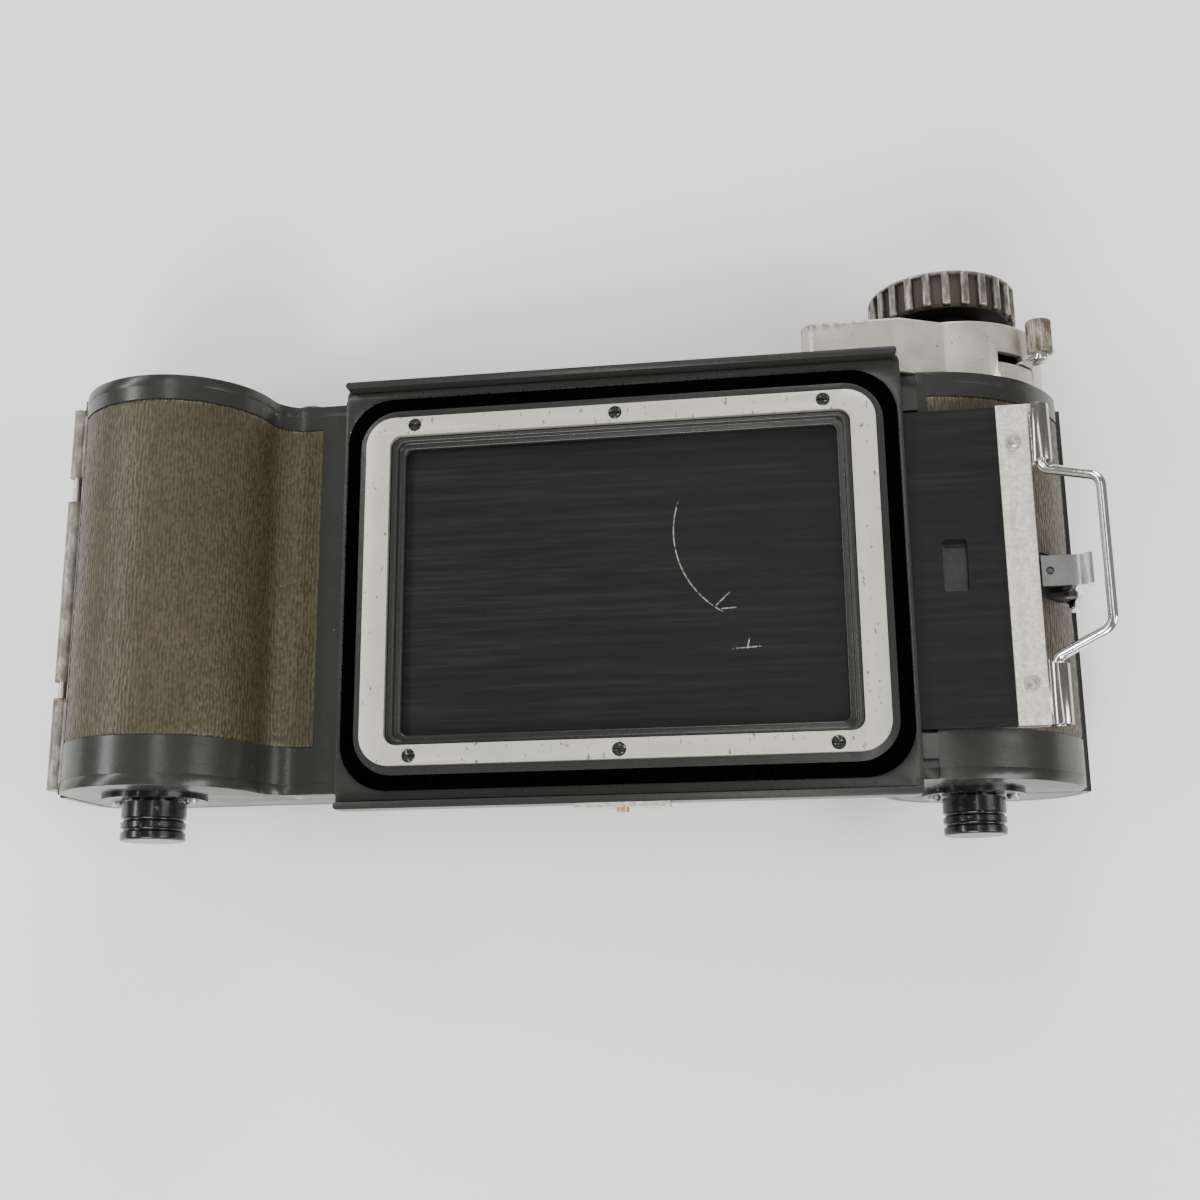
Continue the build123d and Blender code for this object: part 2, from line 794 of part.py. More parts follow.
def slide_rivets():
    top_z = slide_top_z + handle_sheet
    low_z = slide_top_z - slide_thick - handle_sheet
    rivets = []
    for side in (-1, 1):
        shank = plate(Circle(slide_rivet_shank), low_z, top_z)
        head = plate(Circle(slide_rivet_radius), top_z, top_z + slide_rivet_head)
        head = fillet(head.edges().group_by(Axis.Z)[-1], slide_rivet_round)
        foot = plate(Circle(slide_rivet_radius), low_z - slide_rivet_round, low_z)
        rivets.append(Pos(slide_rivet_x, side * slide_rivet_y, 0) * (shank + head + foot))
    return joined(rivets)


def slide_bail():
    end_y = slide_half_y - bail_end_gap
    path = FilletPolyline((0, -end_y), (0, -bail_foot_y), (bail_reach, -bail_bar_half),
                          (bail_reach, bail_bar_half), (0, bail_foot_y), (0, end_y), radius=[2, 3, 3, 2])
    profile = Plane(origin=path @ 0, z_dir=path % 0) * Circle(bail_wire)
    wire = sweep(profile, path=path)
    return Pos(tube_axis_x, 0, tube_axis_z()) * Rot(0, -bail_rise, 0) * wire


# ---- Back cover ----

def cover_shell():
    shell = slab(closed_face(cover_line(0), cover_line(cover_wall)), -end_half_y, end_half_y)
    shell -= cover_leather_block()
    notch_z = seam_z - seam_gap - 3.6
    return shell - block(cover_right_x - cover_wall - 1, cover_right_x + 1, -latch_half_y - 0.6, latch_half_y + 0.6,
                         notch_z, seam_z + 1)


def cover_leather_block():
    return block(cover_left_x + cover_corner + 4, cover_step_x - cover_step_corner - 3, -end_half_y + 4,
                 end_half_y - 4, cover_flat_z, cover_flat_z + leather_thick)


def cover_end_walls():
    below = bar(-200, 200, cover_crown_z - 5, seam_z - seam_gap)
    outline = cover_inside(cover_wall) & below
    notch = Pos(takeup_x, takeup_z) * Circle(escutcheon_radius + tongue_gap + cover_gap)
    foot = slab(outline - notch, -end_half_y, end_wall - end_half_y)
    head = slab(outline, end_half_y - end_wall, end_half_y)
    return joined([foot, head])


def pressure_plate():
    return plate(RectangleRounded(2 * plate_half_x, 2 * plate_half_y, 3), plate_front_z - plate_thick, plate_front_z)


def pressure_springs():
    foot_z = cover_flat_z + cover_wall
    crest_z = plate_front_z - plate_thick - leaf_spring_gap
    top = ThreePointArc((-leaf_spring_half, foot_z + leaf_spring_sheet), (0, crest_z),
                        (leaf_spring_half, foot_z + leaf_spring_sheet))
    low = ThreePointArc((-leaf_spring_half, foot_z), (0, crest_z - leaf_spring_sheet), (leaf_spring_half, foot_z))
    leaf = closed_face(Wire(top.edges()), Wire(low.edges()))
    half = leaf_spring_wide / 2
    return joined([slab(leaf, side * leaf_spring_y - half, side * leaf_spring_y + half) for side in (-1, 1)])


# ---- Hinge ----

def hinge_body_leaf():
    low_y = knuckle_low_y - knuckle_gap_low
    high_y = knuckle_high_y + knuckle_gap_high
    inner = end_half_y - end_wall - 0.3
    leaf = block(hinge_x + hinge_radius + 0.4, hinge_x + 5, -inner, inner, hinge_z - 0.3, hinge_z + leaf_thick)
    for low, high in ((-inner, low_y), (high_y, inner)):
        leaf += block(hinge_x, hinge_x + 3, low, high, hinge_z - 0.3, hinge_z + leaf_thick)
    for low, high in ((-hinge_half_y, low_y), (high_y, hinge_half_y)):
        leaf += rod(hinge_x, hinge_z, hinge_radius, low, high)
    return leaf - rod(hinge_x, hinge_z, hinge_pin_radius + hinge_gap, -hinge_half_y, hinge_half_y)


def hinge_cover_leaf():
    outer_x = hinge_x - leaf_thick
    leaf = block(outer_x, cover_left_x, -hinge_half_y, hinge_half_y, -7, cover_top_z)
    leaf += block(outer_x, hinge_x, knuckle_low_y, knuckle_high_y, cover_top_z - 0.5, hinge_z)
    leaf += rod(hinge_x, hinge_z, hinge_radius, knuckle_low_y, knuckle_high_y)
    leaf -= rod(hinge_x, hinge_z, hinge_pin_radius, -hinge_half_y, hinge_half_y)
    for y in (-34, -12, 12, 34):
        rivet = Plane(origin=(outer_x + 0.01, y, -2.5), z_dir=(-1, 0, 0)) * Cylinder(
            1.2, 0.5, align=(Align.CENTER, Align.CENTER, Align.MIN))
        leaf += chamfer(rivet.edges().group_by(Axis.X)[0], 0.3)
    return leaf


def hinge_pin():
    return rod(hinge_x, hinge_z, hinge_pin_radius, -hinge_half_y, hinge_half_y)


# ---- Latch ----

def latch_lever():
    tab_low = latch_tab_z
    tab_high = latch_tab_z + latch_sheet
    tab = bar(latch_tab_start_x, latch_tab_end_x, tab_low, tab_high)
    tab += bar(latch_tab_end_x - 1.2, latch_tab_end_x, tab_low, tab_high + 1.4)
    web = bar(latch_pin_x - 0.8, latch_pin_x + 0.8, latch_pin_z, tab_high - 0.1)
    knuckle = Pos(latch_pin_x, latch_pin_z) * Circle(latch_knuckle)
    bend_z = latch_pin_z - 4
    arm = polygon((latch_pin_x + 0.4, latch_pin_z + 0.8), (latch_arm_x + latch_sheet, bend_z),
                  (latch_arm_x + latch_sheet, latch_foot_z), (latch_arm_x, latch_foot_z),
                  (latch_arm_x, bend_z), (latch_pin_x - 0.6, latch_pin_z - 1.2))
    outline = tab + web + knuckle + arm
    lever = slab(outline, -latch_half_y, latch_half_y)
    lever -= rod(latch_pin_x, latch_pin_z, latch_pin + hinge_gap, -10, 10)
    return lever - Pos(latch_tab_start_x + 1.6, 0, tab_high) * Cylinder(0.8, 4)


def latch_pin_rod():
    reach = latch_half_y + 0.2 + latch_ear
    return rod(latch_pin_x, latch_pin_z, latch_pin, -reach, reach)


# ---- Winder ----

def pitch_radius(teeth):
    return gear_module * teeth / 2


def gear_places():
    """Axes of the idler and the dial, with all three gears in mesh."""
    first = pitch_radius(pinion_teeth) + pitch_radius(idler_teeth)
    second = pitch_radius(idler_pinion_teeth) + pitch_radius(dial_teeth)
    span = first + second - 0.2
    corner = math.degrees(math.acos((first**2 + span**2 - second**2) / (2 * first * span)))
    idler = polar(takeup_x, takeup_z, first, dial_direction + corner)
    dial = polar(takeup_x, takeup_z, span, dial_direction)
    return idler, dial


def bearing(start, end):
    return math.degrees(math.atan2(end[1] - start[1], end[0] - start[0]))


def involute(base, radius):
    """Polar angle of the involute at a radius, in degrees."""
    tangent = math.sqrt(max((radius / base) ** 2 - 1, 0))
    return math.degrees(tangent - math.atan(tangent))


def gear_outline(centre, teeth, tooth_at):
    """An involute gear with one tooth centred on the direction tooth_at."""
    pitch = pitch_radius(teeth)
    base = pitch * math.cos(math.radians(20))
    root = pitch - 1.2 * gear_module
    tip = pitch + 0.9 * gear_module
    half = 90 / teeth - math.degrees(gear_backlash / 2 / pitch) + involute(base, pitch)
    radii = [max(base, root), (max(base, root) + pitch) / 2, pitch, tip]
    points = []
    for tooth in range(teeth):
        middle = tooth_at + 360 * tooth / teeth
        points.append(polar(*centre, root, middle - half - 0.01))
        points += [polar(*centre, r, middle - half + involute(base, r)) for r in radii]
        points += [polar(*centre, r, middle + half - involute(base, r)) for r in reversed(radii)]
        points.append(polar(*centre, root, middle + half + 0.01))
    return polygon(*points)


def drive_pinion():
    idler = gear_places()[0]
    outline = gear_outline((takeup_x, takeup_z), pinion_teeth, bearing((takeup_x, takeup_z), idler))
    outline -= Pos(takeup_x, takeup_z) * Circle(shaft_radius)
    return slab(outline, gear_low_y, gear_low_y + gear_thick)


def counter_idler():
    idler, dial = gear_places()
    wheel = gear_outline(idler, idler_teeth, bearing(idler, (takeup_x, takeup_z)) + 180 / idler_teeth)
    small = gear_outline(idler, idler_pinion_teeth, bearing(idler, dial))
    bore = Pos(*idler) * Circle(post_radius - 0.2 + shaft_gap)
    body = slab(wheel - bore, gear_low_y, gear_low_y + gear_thick)
    return body + slab(small - bore, gear_low_y + gear_thick, gear_low_y + 2 * gear_thick)


def counter_gear():
    idler, dial = gear_places()
    outline = gear_outline(dial, dial_teeth, bearing(dial, idler) + 180 / dial_teeth)
    outline -= Pos(*dial) * Circle(post_radius + shaft_gap)
    return slab(outline, gear_low_y + gear_thick + 0.4, gear_low_y + 2.1 * gear_thick)


def counter_dial():
    dial = gear_places()[1]
    low_y = gear_low_y + 2.1 * gear_thick
    disc = rod(*dial, dial_radius, low_y, low_y + 0.6)
    return disc - rod(*dial, post_radius + shaft_gap, low_y - 1, low_y + 1)


def winder_posts():
    idler, dial = gear_places()
    pawl = polar(takeup_x, takeup_z, pawl_reach, pawl_angle)
    top_y = housing_top_y - housing_wall
    idler_top_y = gear_low_y + 2 * gear_thick
    return joined([rod(*idler, post_radius - 0.2, end_half_y, idler_top_y),
                   rod(*dial, post_radius, gear_low_y + gear_thick + 0.2, top_y),
                   rod(*pawl, post_radius, end_half_y, ratchet_low_y + ratchet_thick)])


def housing_outline(inset):
    """The winder housing: a round turret for the knob and an arm for the frame counter."""
    turret = Pos(takeup_x, takeup_z) * Circle(housing_radius - inset)
    idler = gear_places()[0]
    lobe_x = idler[0] - pitch_radius(idler_teeth) - gear_module - 0.6 - housing_wall
    lobe = rounded_bar(lobe_x + inset, takeup_x, seam_z + inset, lobe_top_z, lobe_corner - inset)
    arm = rounded_bar(housing_left_x + inset, housing_knee_x + 4, housing_back_z + inset,
                      housing_front_z - inset, housing_corner - inset)
    touch = polar(takeup_x, takeup_z, housing_radius - inset, 96)
    shoulder = polygon((housing_knee_x, housing_front_z - inset), touch, (takeup_x, takeup_z),
                       (housing_knee_x, takeup_z))
    trim = bar(-200, housing_knee_x, -60, 60) + shoulder + turret
    return (arm & trim) + turret + lobe + shoulder


def rounded_bar(x_low, x_high, z_low, z_high, corner):
    middle = ((x_low + x_high) / 2, (z_low + z_high) / 2)
    return Pos(*middle) * RectangleRounded(x_high - x_low, z_high - z_low, corner)


def housing_screw_places():
    edge = housing_wall + 1.5
    right = polar(takeup_x, takeup_z, housing_radius - 2.2, -9)
    return [(housing_left_x + edge, housing_front_z - edge), (housing_left_x + edge, housing_back_z + edge), right]


def winder_housing():
    top_inside = housing_top_y - housing_wall
    housing = slab(housing_outline(0), end_half_y, housing_top_y)
    housing = fillet(housing.edges().group_by(Axis.Y)[-1], housing_edge)
    housing -= slab(housing_outline(housing_wall), end_half_y, top_inside)
    for place in housing_screw_places():
        housing += rod(*place, housing_boss, end_half_y, top_inside)
    for place in housing_screw_places():
        housing -= rod(*place, housing_screw_head, housing_top_y - housing_screw_deep, housing_top_y + 1)
        housing -= rod(*place, housing_screw_shank, end_half_y, housing_top_y)
    housing -= rod(takeup_x, takeup_z, shaft_radius + 0.5, top_inside - 1, housing_top_y + 1)
    window = counter_window_place()
    housing -= rod(*window, window_radius, top_inside - 1, housing_top_y + 1)
    housing -= block(0, 200, end_half_y - 1, end_half_y + cover_gap, -60, seam_z)
    return housing - slab(lever_sweep(), lever_low_y - 0.4, lever_low_y + lever_thick + 0.4)


def lever_sweep():
    """The slot in the turret wall that the lever swings in."""
    low = lever_angle - 8
    high = lever_angle + lever_travel + 8
    points = [polar(takeup_x, takeup_z, 15, low), polar(takeup_x, takeup_z, 26, low),
              polar(takeup_x, takeup_z, 26, (low + high) / 2), polar(takeup_x, takeup_z, 26, high),
              polar(takeup_x, takeup_z, 15, high)]
    return polygon(*points)


def counter_window_place():
    dial = gear_places()[1]
    return polar(*dial, 4.0, dial_direction)


def counter_window():
    return rod(*counter_window_place(), window_radius, housing_top_y - housing_wall, housing_top_y - 0.5)


def housing_screws():
    screws = []
    for x, z in housing_screw_places():
        seat_y = housing_top_y - housing_screw_deep
        head = rod(x, z, housing_screw_head, seat_y, housing_top_y)
        slot = slot_cut(x, housing_top_y - slot_deep, housing_top_y + 1, z, 2 * housing_screw_head)
        screws.append(head + rod(x, z, housing_screw_shank, end_half_y, seat_y) - slot)
    return joined(screws)


def index_dots():
    dots = []
    for angle in (95, 80, 66):
        x, z = polar(takeup_x, takeup_z, 17.2, angle)
        dot = rod(x, z, 0.75, housing_top_y, housing_top_y + 0.7)
        dots.append(fillet(dot.edges().group_by(Axis.Y)[-1], 0.5))
    return joined(dots)


def winder_bushing():
    sleeve = rod(takeup_x, takeup_z, bushing_radius, end_half_y - end_wall - 0.7, end_half_y + 0.6)
    return sleeve - rod(takeup_x, takeup_z, shaft_radius + shaft_gap, 0, 2 * end_half_y)


def key_low_y():
    return spool_half - 2.8


def drive_shaft():
    shaft = rod(takeup_x, takeup_z, shaft_radius, spool_half + 0.3, knob_high_y - knob_recess_deep)
    blade = block(takeup_x - 0.65, takeup_x + 0.65, key_low_y(), spool_half + 0.4, takeup_z - 2.3, takeup_z + 2.3)
    return shaft + blade


def takeup_spool():
    spool = rod(takeup_x, takeup_z, spool_core, -spool_half, spool_half)
    for side in (-1, 1):
        low, high = sorted((side * (spool_half - 0.5), side * (spool_half - 0.5 - spool_flange_thick)))
        spool += rod(takeup_x, takeup_z, spool_flange, low, high)
    spool -= rod(takeup_x, takeup_z, spool_hole, -spool_half - 1, -spool_half + 5)
    recess_y = spool_half - spool_recess
    spool -= rod(takeup_x, takeup_z, spool_hole, recess_y, spool_half + 1)
    spool -= block(takeup_x - spool_key_slot / 2, takeup_x + spool_key_slot / 2, recess_y, spool_half + 1,
                   takeup_z - 4.4, takeup_z + 4.4)
    film_slit = block(takeup_x - 0.6, takeup_x + 0.6, -27, 20, takeup_z - 8, takeup_z + 8)
    return spool - film_slit


def ratchet_wheel():
    points = []
    for tooth in range(ratchet_teeth):
        start = 360 * tooth / ratchet_teeth
        points.append(polar(takeup_x, takeup_z, ratchet_tip, start))
        points.append(polar(takeup_x, takeup_z, ratchet_tip - ratchet_deep, start + 1.5))
    outline = polygon(*points) - Pos(takeup_x, takeup_z) * Circle(shaft_radius)
    return slab(outline, ratchet_low_y, ratchet_low_y + ratchet_thick)


def pawl():
    pivot = polar(takeup_x, takeup_z, pawl_reach, pawl_angle)
    tip = polar(takeup_x, takeup_z, ratchet_tip + pawl_tip_gap, pawl_tip_angle)
    bar_face = polygon((pivot[0] - 1.1, pivot[1]), (pivot[0] + 1.1, pivot[1]), (tip[0] + 2.0, tip[1] + 0.2), tip)
    outline = bar_face + Pos(*pivot) * Circle(1.9) - Pos(*pivot) * Circle(post_radius + shaft_gap)
    return slab(outline, ratchet_low_y + 0.3, ratchet_low_y + ratchet_thick - 0.3)


def release_lever():
    end = polar(takeup_x, takeup_z, lever_reach, lever_angle)
    hub = Pos(takeup_x, takeup_z) * Circle(lever_hub)
    side = polar(0, 0, lever_half_wide, lever_angle + 90)
    arm = polygon((takeup_x + side[0], takeup_z + side[1]), (end[0] + side[0], end[1] + side[1]),
                  (end[0] - side[0], end[1] - side[1]), (takeup_x - side[0], takeup_z - side[1]))
    outline = hub + arm + Pos(*end) * Circle(lever_half_wide)
    outline -= Pos(takeup_x, takeup_z) * Circle(shaft_radius + lever_bore_gap)
    return slab(outline, lever_low_y, lever_low_y + lever_thick)


def lever_post_cap():
    end = polar(takeup_x, takeup_z, lever_reach, lever_angle)
    points = []
    for ridge in range(post_ridges):
        points.append(polar(*end, lever_post, 360 * ridge / post_ridges))
        points.append(polar(*end, lever_post - post_ridge_deep, 360 * (ridge + 0.5) / post_ridges))
    return slab(polygon(*points), lever_low_y + lever_thick, post_top_y)


def winding_knob():
    knob = rod(takeup_x, takeup_z, knob_radius, knob_low_y, knob_high_y)
    knob = fillet(knob.edges().group_by(Axis.Y)[-1], knob_edge)
    flute = Plane(origin=(takeup_x, knob_low_y + knob_height / 2, takeup_z), z_dir=(0, 1, 0))
    flute_wide = math.pi * knob_radius / knob_flutes
    for step in range(knob_flutes):
        turn = Rot(0, 0, 360 * step / knob_flutes)
        cut = Pos(knob_radius, 0, 0) * Box(2 * flute_deep, flute_wide, knob_height + 2)
        knob -= flute * turn * cut
    knob += rod(takeup_x, takeup_z, knob_neck, housing_top_y + knob_neck_gap, knob_low_y)
    knob -= rod(takeup_x, takeup_z, shaft_radius, 0, knob_high_y + 1)
    return knob - rod(takeup_x, takeup_z, knob_recess, knob_high_y - knob_recess_deep, knob_high_y + 1)


def knob_screw():
    head = rod(takeup_x, takeup_z, knob_recess - 0.6, knob_high_y - knob_recess_deep, knob_high_y - 0.2)
    return head - block(takeup_x - 6, takeup_x + 6, knob_high_y - 0.8, knob_high_y, takeup_z - 0.5, takeup_z + 0.5)


PARTS = {
    "gate_ring": gate_ring,
    "ring_screws": ring_screws,
    "front_flange": front_flange,
    "groove_velvet": groove_velvet,
    "window_bezel": window_bezel,
    "slide_felt": slide_felt,
    "catch_plate": catch_plate,
    "catch_stud": catch_stud,
    "gate_plate": gate_plate,
    "film_rails": film_rails,
    "supply_shell": supply_shell,
    "supply_leatherette": supply_leatherette,
    "takeup_shell": takeup_shell,
    "takeup_leatherette": takeup_leatherette,
    "foot_end_wall": foot_end_wall,
    "knob_end_wall": knob_end_wall,
    "supply_escutcheon": lambda: escutcheon(supply_x, supply_z),
    "takeup_escutcheon": lambda: escutcheon(takeup_x, takeup_z),
    "escutcheon_screws": escutcheon_screws,
    "supply_knob": lambda: pull_knob(supply_x, supply_z),
    "takeup_knob": lambda: pull_knob(takeup_x, takeup_z),
    "knob_springs": lambda: joined([knob_spring(supply_x, supply_z), knob_spring(takeup_x, takeup_z)]),
    "supply_stud": supply_stud,
    "supply_roller": lambda: roller(supply_roller_x, supply_roller_z),
    "takeup_roller": lambda: roller(takeup_roller_x, takeup_roller_z),
    "roller_pins": roller_pins,
    "roller_cap": roller_cap,
    "dark_slide": dark_slide,
    "slide_handle": slide_handle,
    "slide_rivets": slide_rivets,
    "slide_bail": slide_bail,
    "cover_shell": cover_shell,
    "cover_end_walls": cover_end_walls,
    "cover_leatherette": cover_leather_block,
    "pressure_plate": pressure_plate,
    "pressure_springs": pressure_springs,
    "hinge_body_leaf": hinge_body_leaf,
    "hinge_cover_leaf": hinge_cover_leaf,
    "hinge_pin": hinge_pin,
    "latch_lever": latch_lever,
    "latch_pin": latch_pin_rod,
    "winder_housing": winder_housing,
    "housing_screws": housing_screws,
    "index_dots": index_dots,
    "winder_bushing": winder_bushing,
    "winder_posts": winder_posts,
    "counter_window": counter_window,
    "counter_idler": counter_idler,
    "counter_gear": counter_gear,
    "counter_dial": counter_dial,
    "drive_shaft": drive_shaft,
    "drive_pinion": drive_pinion,
    "ratchet_wheel": ratchet_wheel,
    "pawl": pawl,
    "release_lever": release_lever,
    "lever_post": lever_post_cap,
    "winding_knob": winding_knob,
    "knob_screw": knob_screw,
    "takeup_spool": takeup_spool,
}

for name, make in PARTS.items():
    save(name, make())
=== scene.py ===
"""Finishes, fine surface detail and studio for a roll film holder."""

import math

import bmesh
import bpy
from bpy.props import FloatProperty, FloatVectorProperty, IntProperty, PointerProperty
from mathutils import Euler, Matrix, Vector, noise
from mathutils.bvhtree import BVHTree


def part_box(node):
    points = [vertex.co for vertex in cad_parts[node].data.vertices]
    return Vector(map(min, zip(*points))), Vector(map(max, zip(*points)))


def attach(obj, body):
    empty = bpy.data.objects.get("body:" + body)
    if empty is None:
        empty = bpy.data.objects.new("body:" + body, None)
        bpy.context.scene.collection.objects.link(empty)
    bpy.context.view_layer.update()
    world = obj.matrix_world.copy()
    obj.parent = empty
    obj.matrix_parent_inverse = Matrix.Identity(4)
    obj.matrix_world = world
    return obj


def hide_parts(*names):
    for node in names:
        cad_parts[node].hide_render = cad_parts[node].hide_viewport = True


bl_info = {
    "name": "Roll film holder",
    "version": (1, 0, 0),
    "blender": (4, 5, 0),
    "location": "View3D > Sidebar > Holder",
    "description": "Finishes and fine detail for a press camera's roll film holder",
    "category": "Object",
}

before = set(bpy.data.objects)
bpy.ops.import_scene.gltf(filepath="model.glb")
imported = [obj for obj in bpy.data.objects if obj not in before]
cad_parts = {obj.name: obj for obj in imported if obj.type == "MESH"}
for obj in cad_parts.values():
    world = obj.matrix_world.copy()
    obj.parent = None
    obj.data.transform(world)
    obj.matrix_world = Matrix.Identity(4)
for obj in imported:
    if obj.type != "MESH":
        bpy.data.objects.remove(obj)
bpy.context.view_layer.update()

MILLIMETRE = 0.001
WELD = 1e-6
SHARP_ANGLE = math.radians(38)
ROUND_ANGLE = math.radians(42)
FLAT_ANGLE = math.radians(0.4)
BODY = "holder_body"


# ---- Settings that a user would change ----

def colour(name, description, default):
    return FloatVectorProperty(name=name, description=description, subtype="COLOR", size=3,
                               min=0, max=1, default=default)


def length(name, description, default):
    return FloatProperty(name=name, description=description, unit="LENGTH", precision=5,
                         min=0, default=default)


def power(name, description, default):
    return FloatProperty(name=name, description=description, unit="POWER", default=default)


class HolderSizes(bpy.types.PropertyGroup):
    casting_round: length("Casting round", "Radius along the edges of the castings", 0.0007)
    fine_round: length("Fine round", "Radius along the edges of sheet and small metal pieces", 0.00022)
    grain_across: length("Grain step across", "Distance between points round the drum", 0.0002)
    grain_along: length("Grain step along", "Distance between points along the drum", 0.00045)
    grain_depth: length("Grain depth", "Depth of the furrows in the leatherette", 0.00014)
    nub_wide: length("Nub width", "Width of one nub in the leatherette", 0.00072)
    nub_long: length("Nub length", "Length of one nub in the leatherette", 0.0015)
    pile_length: length("Pile length", "Length of one fibre in the light-trap velvet", 0.00055)
    pile_width: length("Pile width", "Width of one fibre at its root", 0.00013)
    pile_density: FloatProperty(name="Pile density", description="Fibres on each square metre of velvet",
                                min=0, default=1.5e7)
    knob_ribs: IntProperty(name="Knob ribs", description="Ribs round the winding knob", min=6, default=24)
    rib_depth: length("Rib depth", "Depth of the grooves between the knob's ribs", 0.001)
    number_size: length("Number size", "Height of the numbers on the frame counter", 0.0022)


class HolderColours(bpy.types.PropertyGroup):
    casting: colour("Casting", "Semi-gloss enamel on the castings", (0.024, 0.0245, 0.0225))
    ring: colour("Ring", "Satin metal of the camera ring", (0.55, 0.53, 0.46))
    leather: colour("Leatherette", "Raised grain of the leatherette", (0.080, 0.064, 0.035))
    # Darker leatherette colour: a random darker tone, and painted shade at the bottom of the creases.
    crease: colour("Creases", "Bottom of the leatherette's creases", (0.026, 0.020, 0.010))
    velvet: colour("Velvet", "Light-trap pile", (0.0012, 0.0012, 0.0012))
    slide: colour("Dark slide", "Worn black of the dark slide", (0.0045, 0.0050, 0.0048))
    streak: colour("Slide streaks", "Rubbed streaks along the dark slide", (0.017, 0.0165, 0.0145))
    scratch: colour("Scratches", "Bare metal in the slide's scratches", (0.32, 0.31, 0.28))
    strip: colour("Handle strip", "Mottled plating of the slide's handle", (0.80, 0.76, 0.65))
    chrome: colour("Chrome", "Polished plating", (0.80, 0.80, 0.79))
    housing: colour("Winder housing", "Satin cast housing", (0.40, 0.375, 0.325))
    knob: colour("Knob ribs", "Worn metal of the winding knob", (0.160, 0.146, 0.120))
    groove: colour("Knob grooves", "Dull metal between the winding knob's ribs", (0.070, 0.059, 0.048))
    grime: colour("Grime", "Old dirt in grooves", (0.034, 0.026, 0.020))
    rust: colour("Rust", "Rust along notches and edges", (0.165, 0.070, 0.028))
    gloss_black: colour("Black enamel", "Gloss black of the pull knobs", (0.006, 0.006, 0.0065))
    steel: colour("Steel", "Plain steel", (0.46, 0.44, 0.41))
    brass: colour("Brass", "Brass gears and studs", (0.52, 0.38, 0.16))
    dial: colour("Dial", "Frame counter's dial", (0.72, 0.70, 0.64))
    floor: colour("Floor", "Plain pale floor", (0.95, 0.95, 0.94))


class HolderStudio(bpy.types.PropertyGroup):
    focal: FloatProperty(name="Focal length", description="Camera focal length in millimetres",
                         min=10, default=46.18)
    key_power: power("Key light", "Power of the broad front light", 13.0)
    strip_power: power("Left strip", "Power of the left strip light", 5.0)
    top_power: power("Top strip", "Power of the strip light above", 1.6)
    fill_power: power("Fill light", "Power of the side light", 6.0)
    back_power: power("Back light", "Power of the far light", 9.0)
    sky: FloatProperty(name="Sky", description="Brightness of the surroundings", min=0, default=0.25)


def sizes():
    return bpy.context.scene.holder_sizes


def tint(name):
    return (*getattr(bpy.context.scene.holder_colours, name), 1.0)


# ---- Shader graphs ----

class Wire:
    """A node's output, for use in a sum."""

    def __init__(self, graph, socket):
        self.graph = graph
        self.socket = socket

    def maths(self, operation, first, second):
        return self.graph.node("ShaderNodeMath", {"operation": operation}, (first, second))

    def __add__(self, other):
        return self.maths("ADD", self, other)

    def __radd__(self, other):
        return self.maths("ADD", other, self)

    def __sub__(self, other):
        return self.maths("SUBTRACT", self, other)

    def __rsub__(self, other):
        return self.maths("SUBTRACT", other, self)

    def __mul__(self, other):
        return self.maths("MULTIPLY", self, other)

    def __rmul__(self, other):
        return self.maths("MULTIPLY", other, self)

    def __abs__(self):
        return self.maths("ABSOLUTE", self, 0)

    def __pow__(self, other):
        return self.maths("POWER", self, other)


class Graph:
    """The nodes of one material or of one geometry tree."""

    def __init__(self, tree):
        self.tree = tree

    def node(self, kind, settings, values, out=0):
        made = self.tree.nodes.new(kind)
        for key, value in settings.items():
            if key == "stops":
                self.set_stops(made.color_ramp, value)
            else:
                setattr(made, key, value)
        pairs = values.items() if isinstance(values, dict) else enumerate(values)
        for key, value in pairs:
            self.feed(made.inputs[key], value)
        return Wire(self, made.outputs[out])

    def feed(self, socket, value):
        if isinstance(value, Wire):
            self.tree.links.new(value.socket, socket)
        else:
            socket.default_value = value

    @staticmethod
    def set_stops(ramp, stops):
        while len(ramp.elements) < len(stops):
            ramp.elements.new(1)
        for element, (place, grey) in zip(ramp.elements, stops):
            element.position = place
            element.color = (grey, grey, grey, 1)


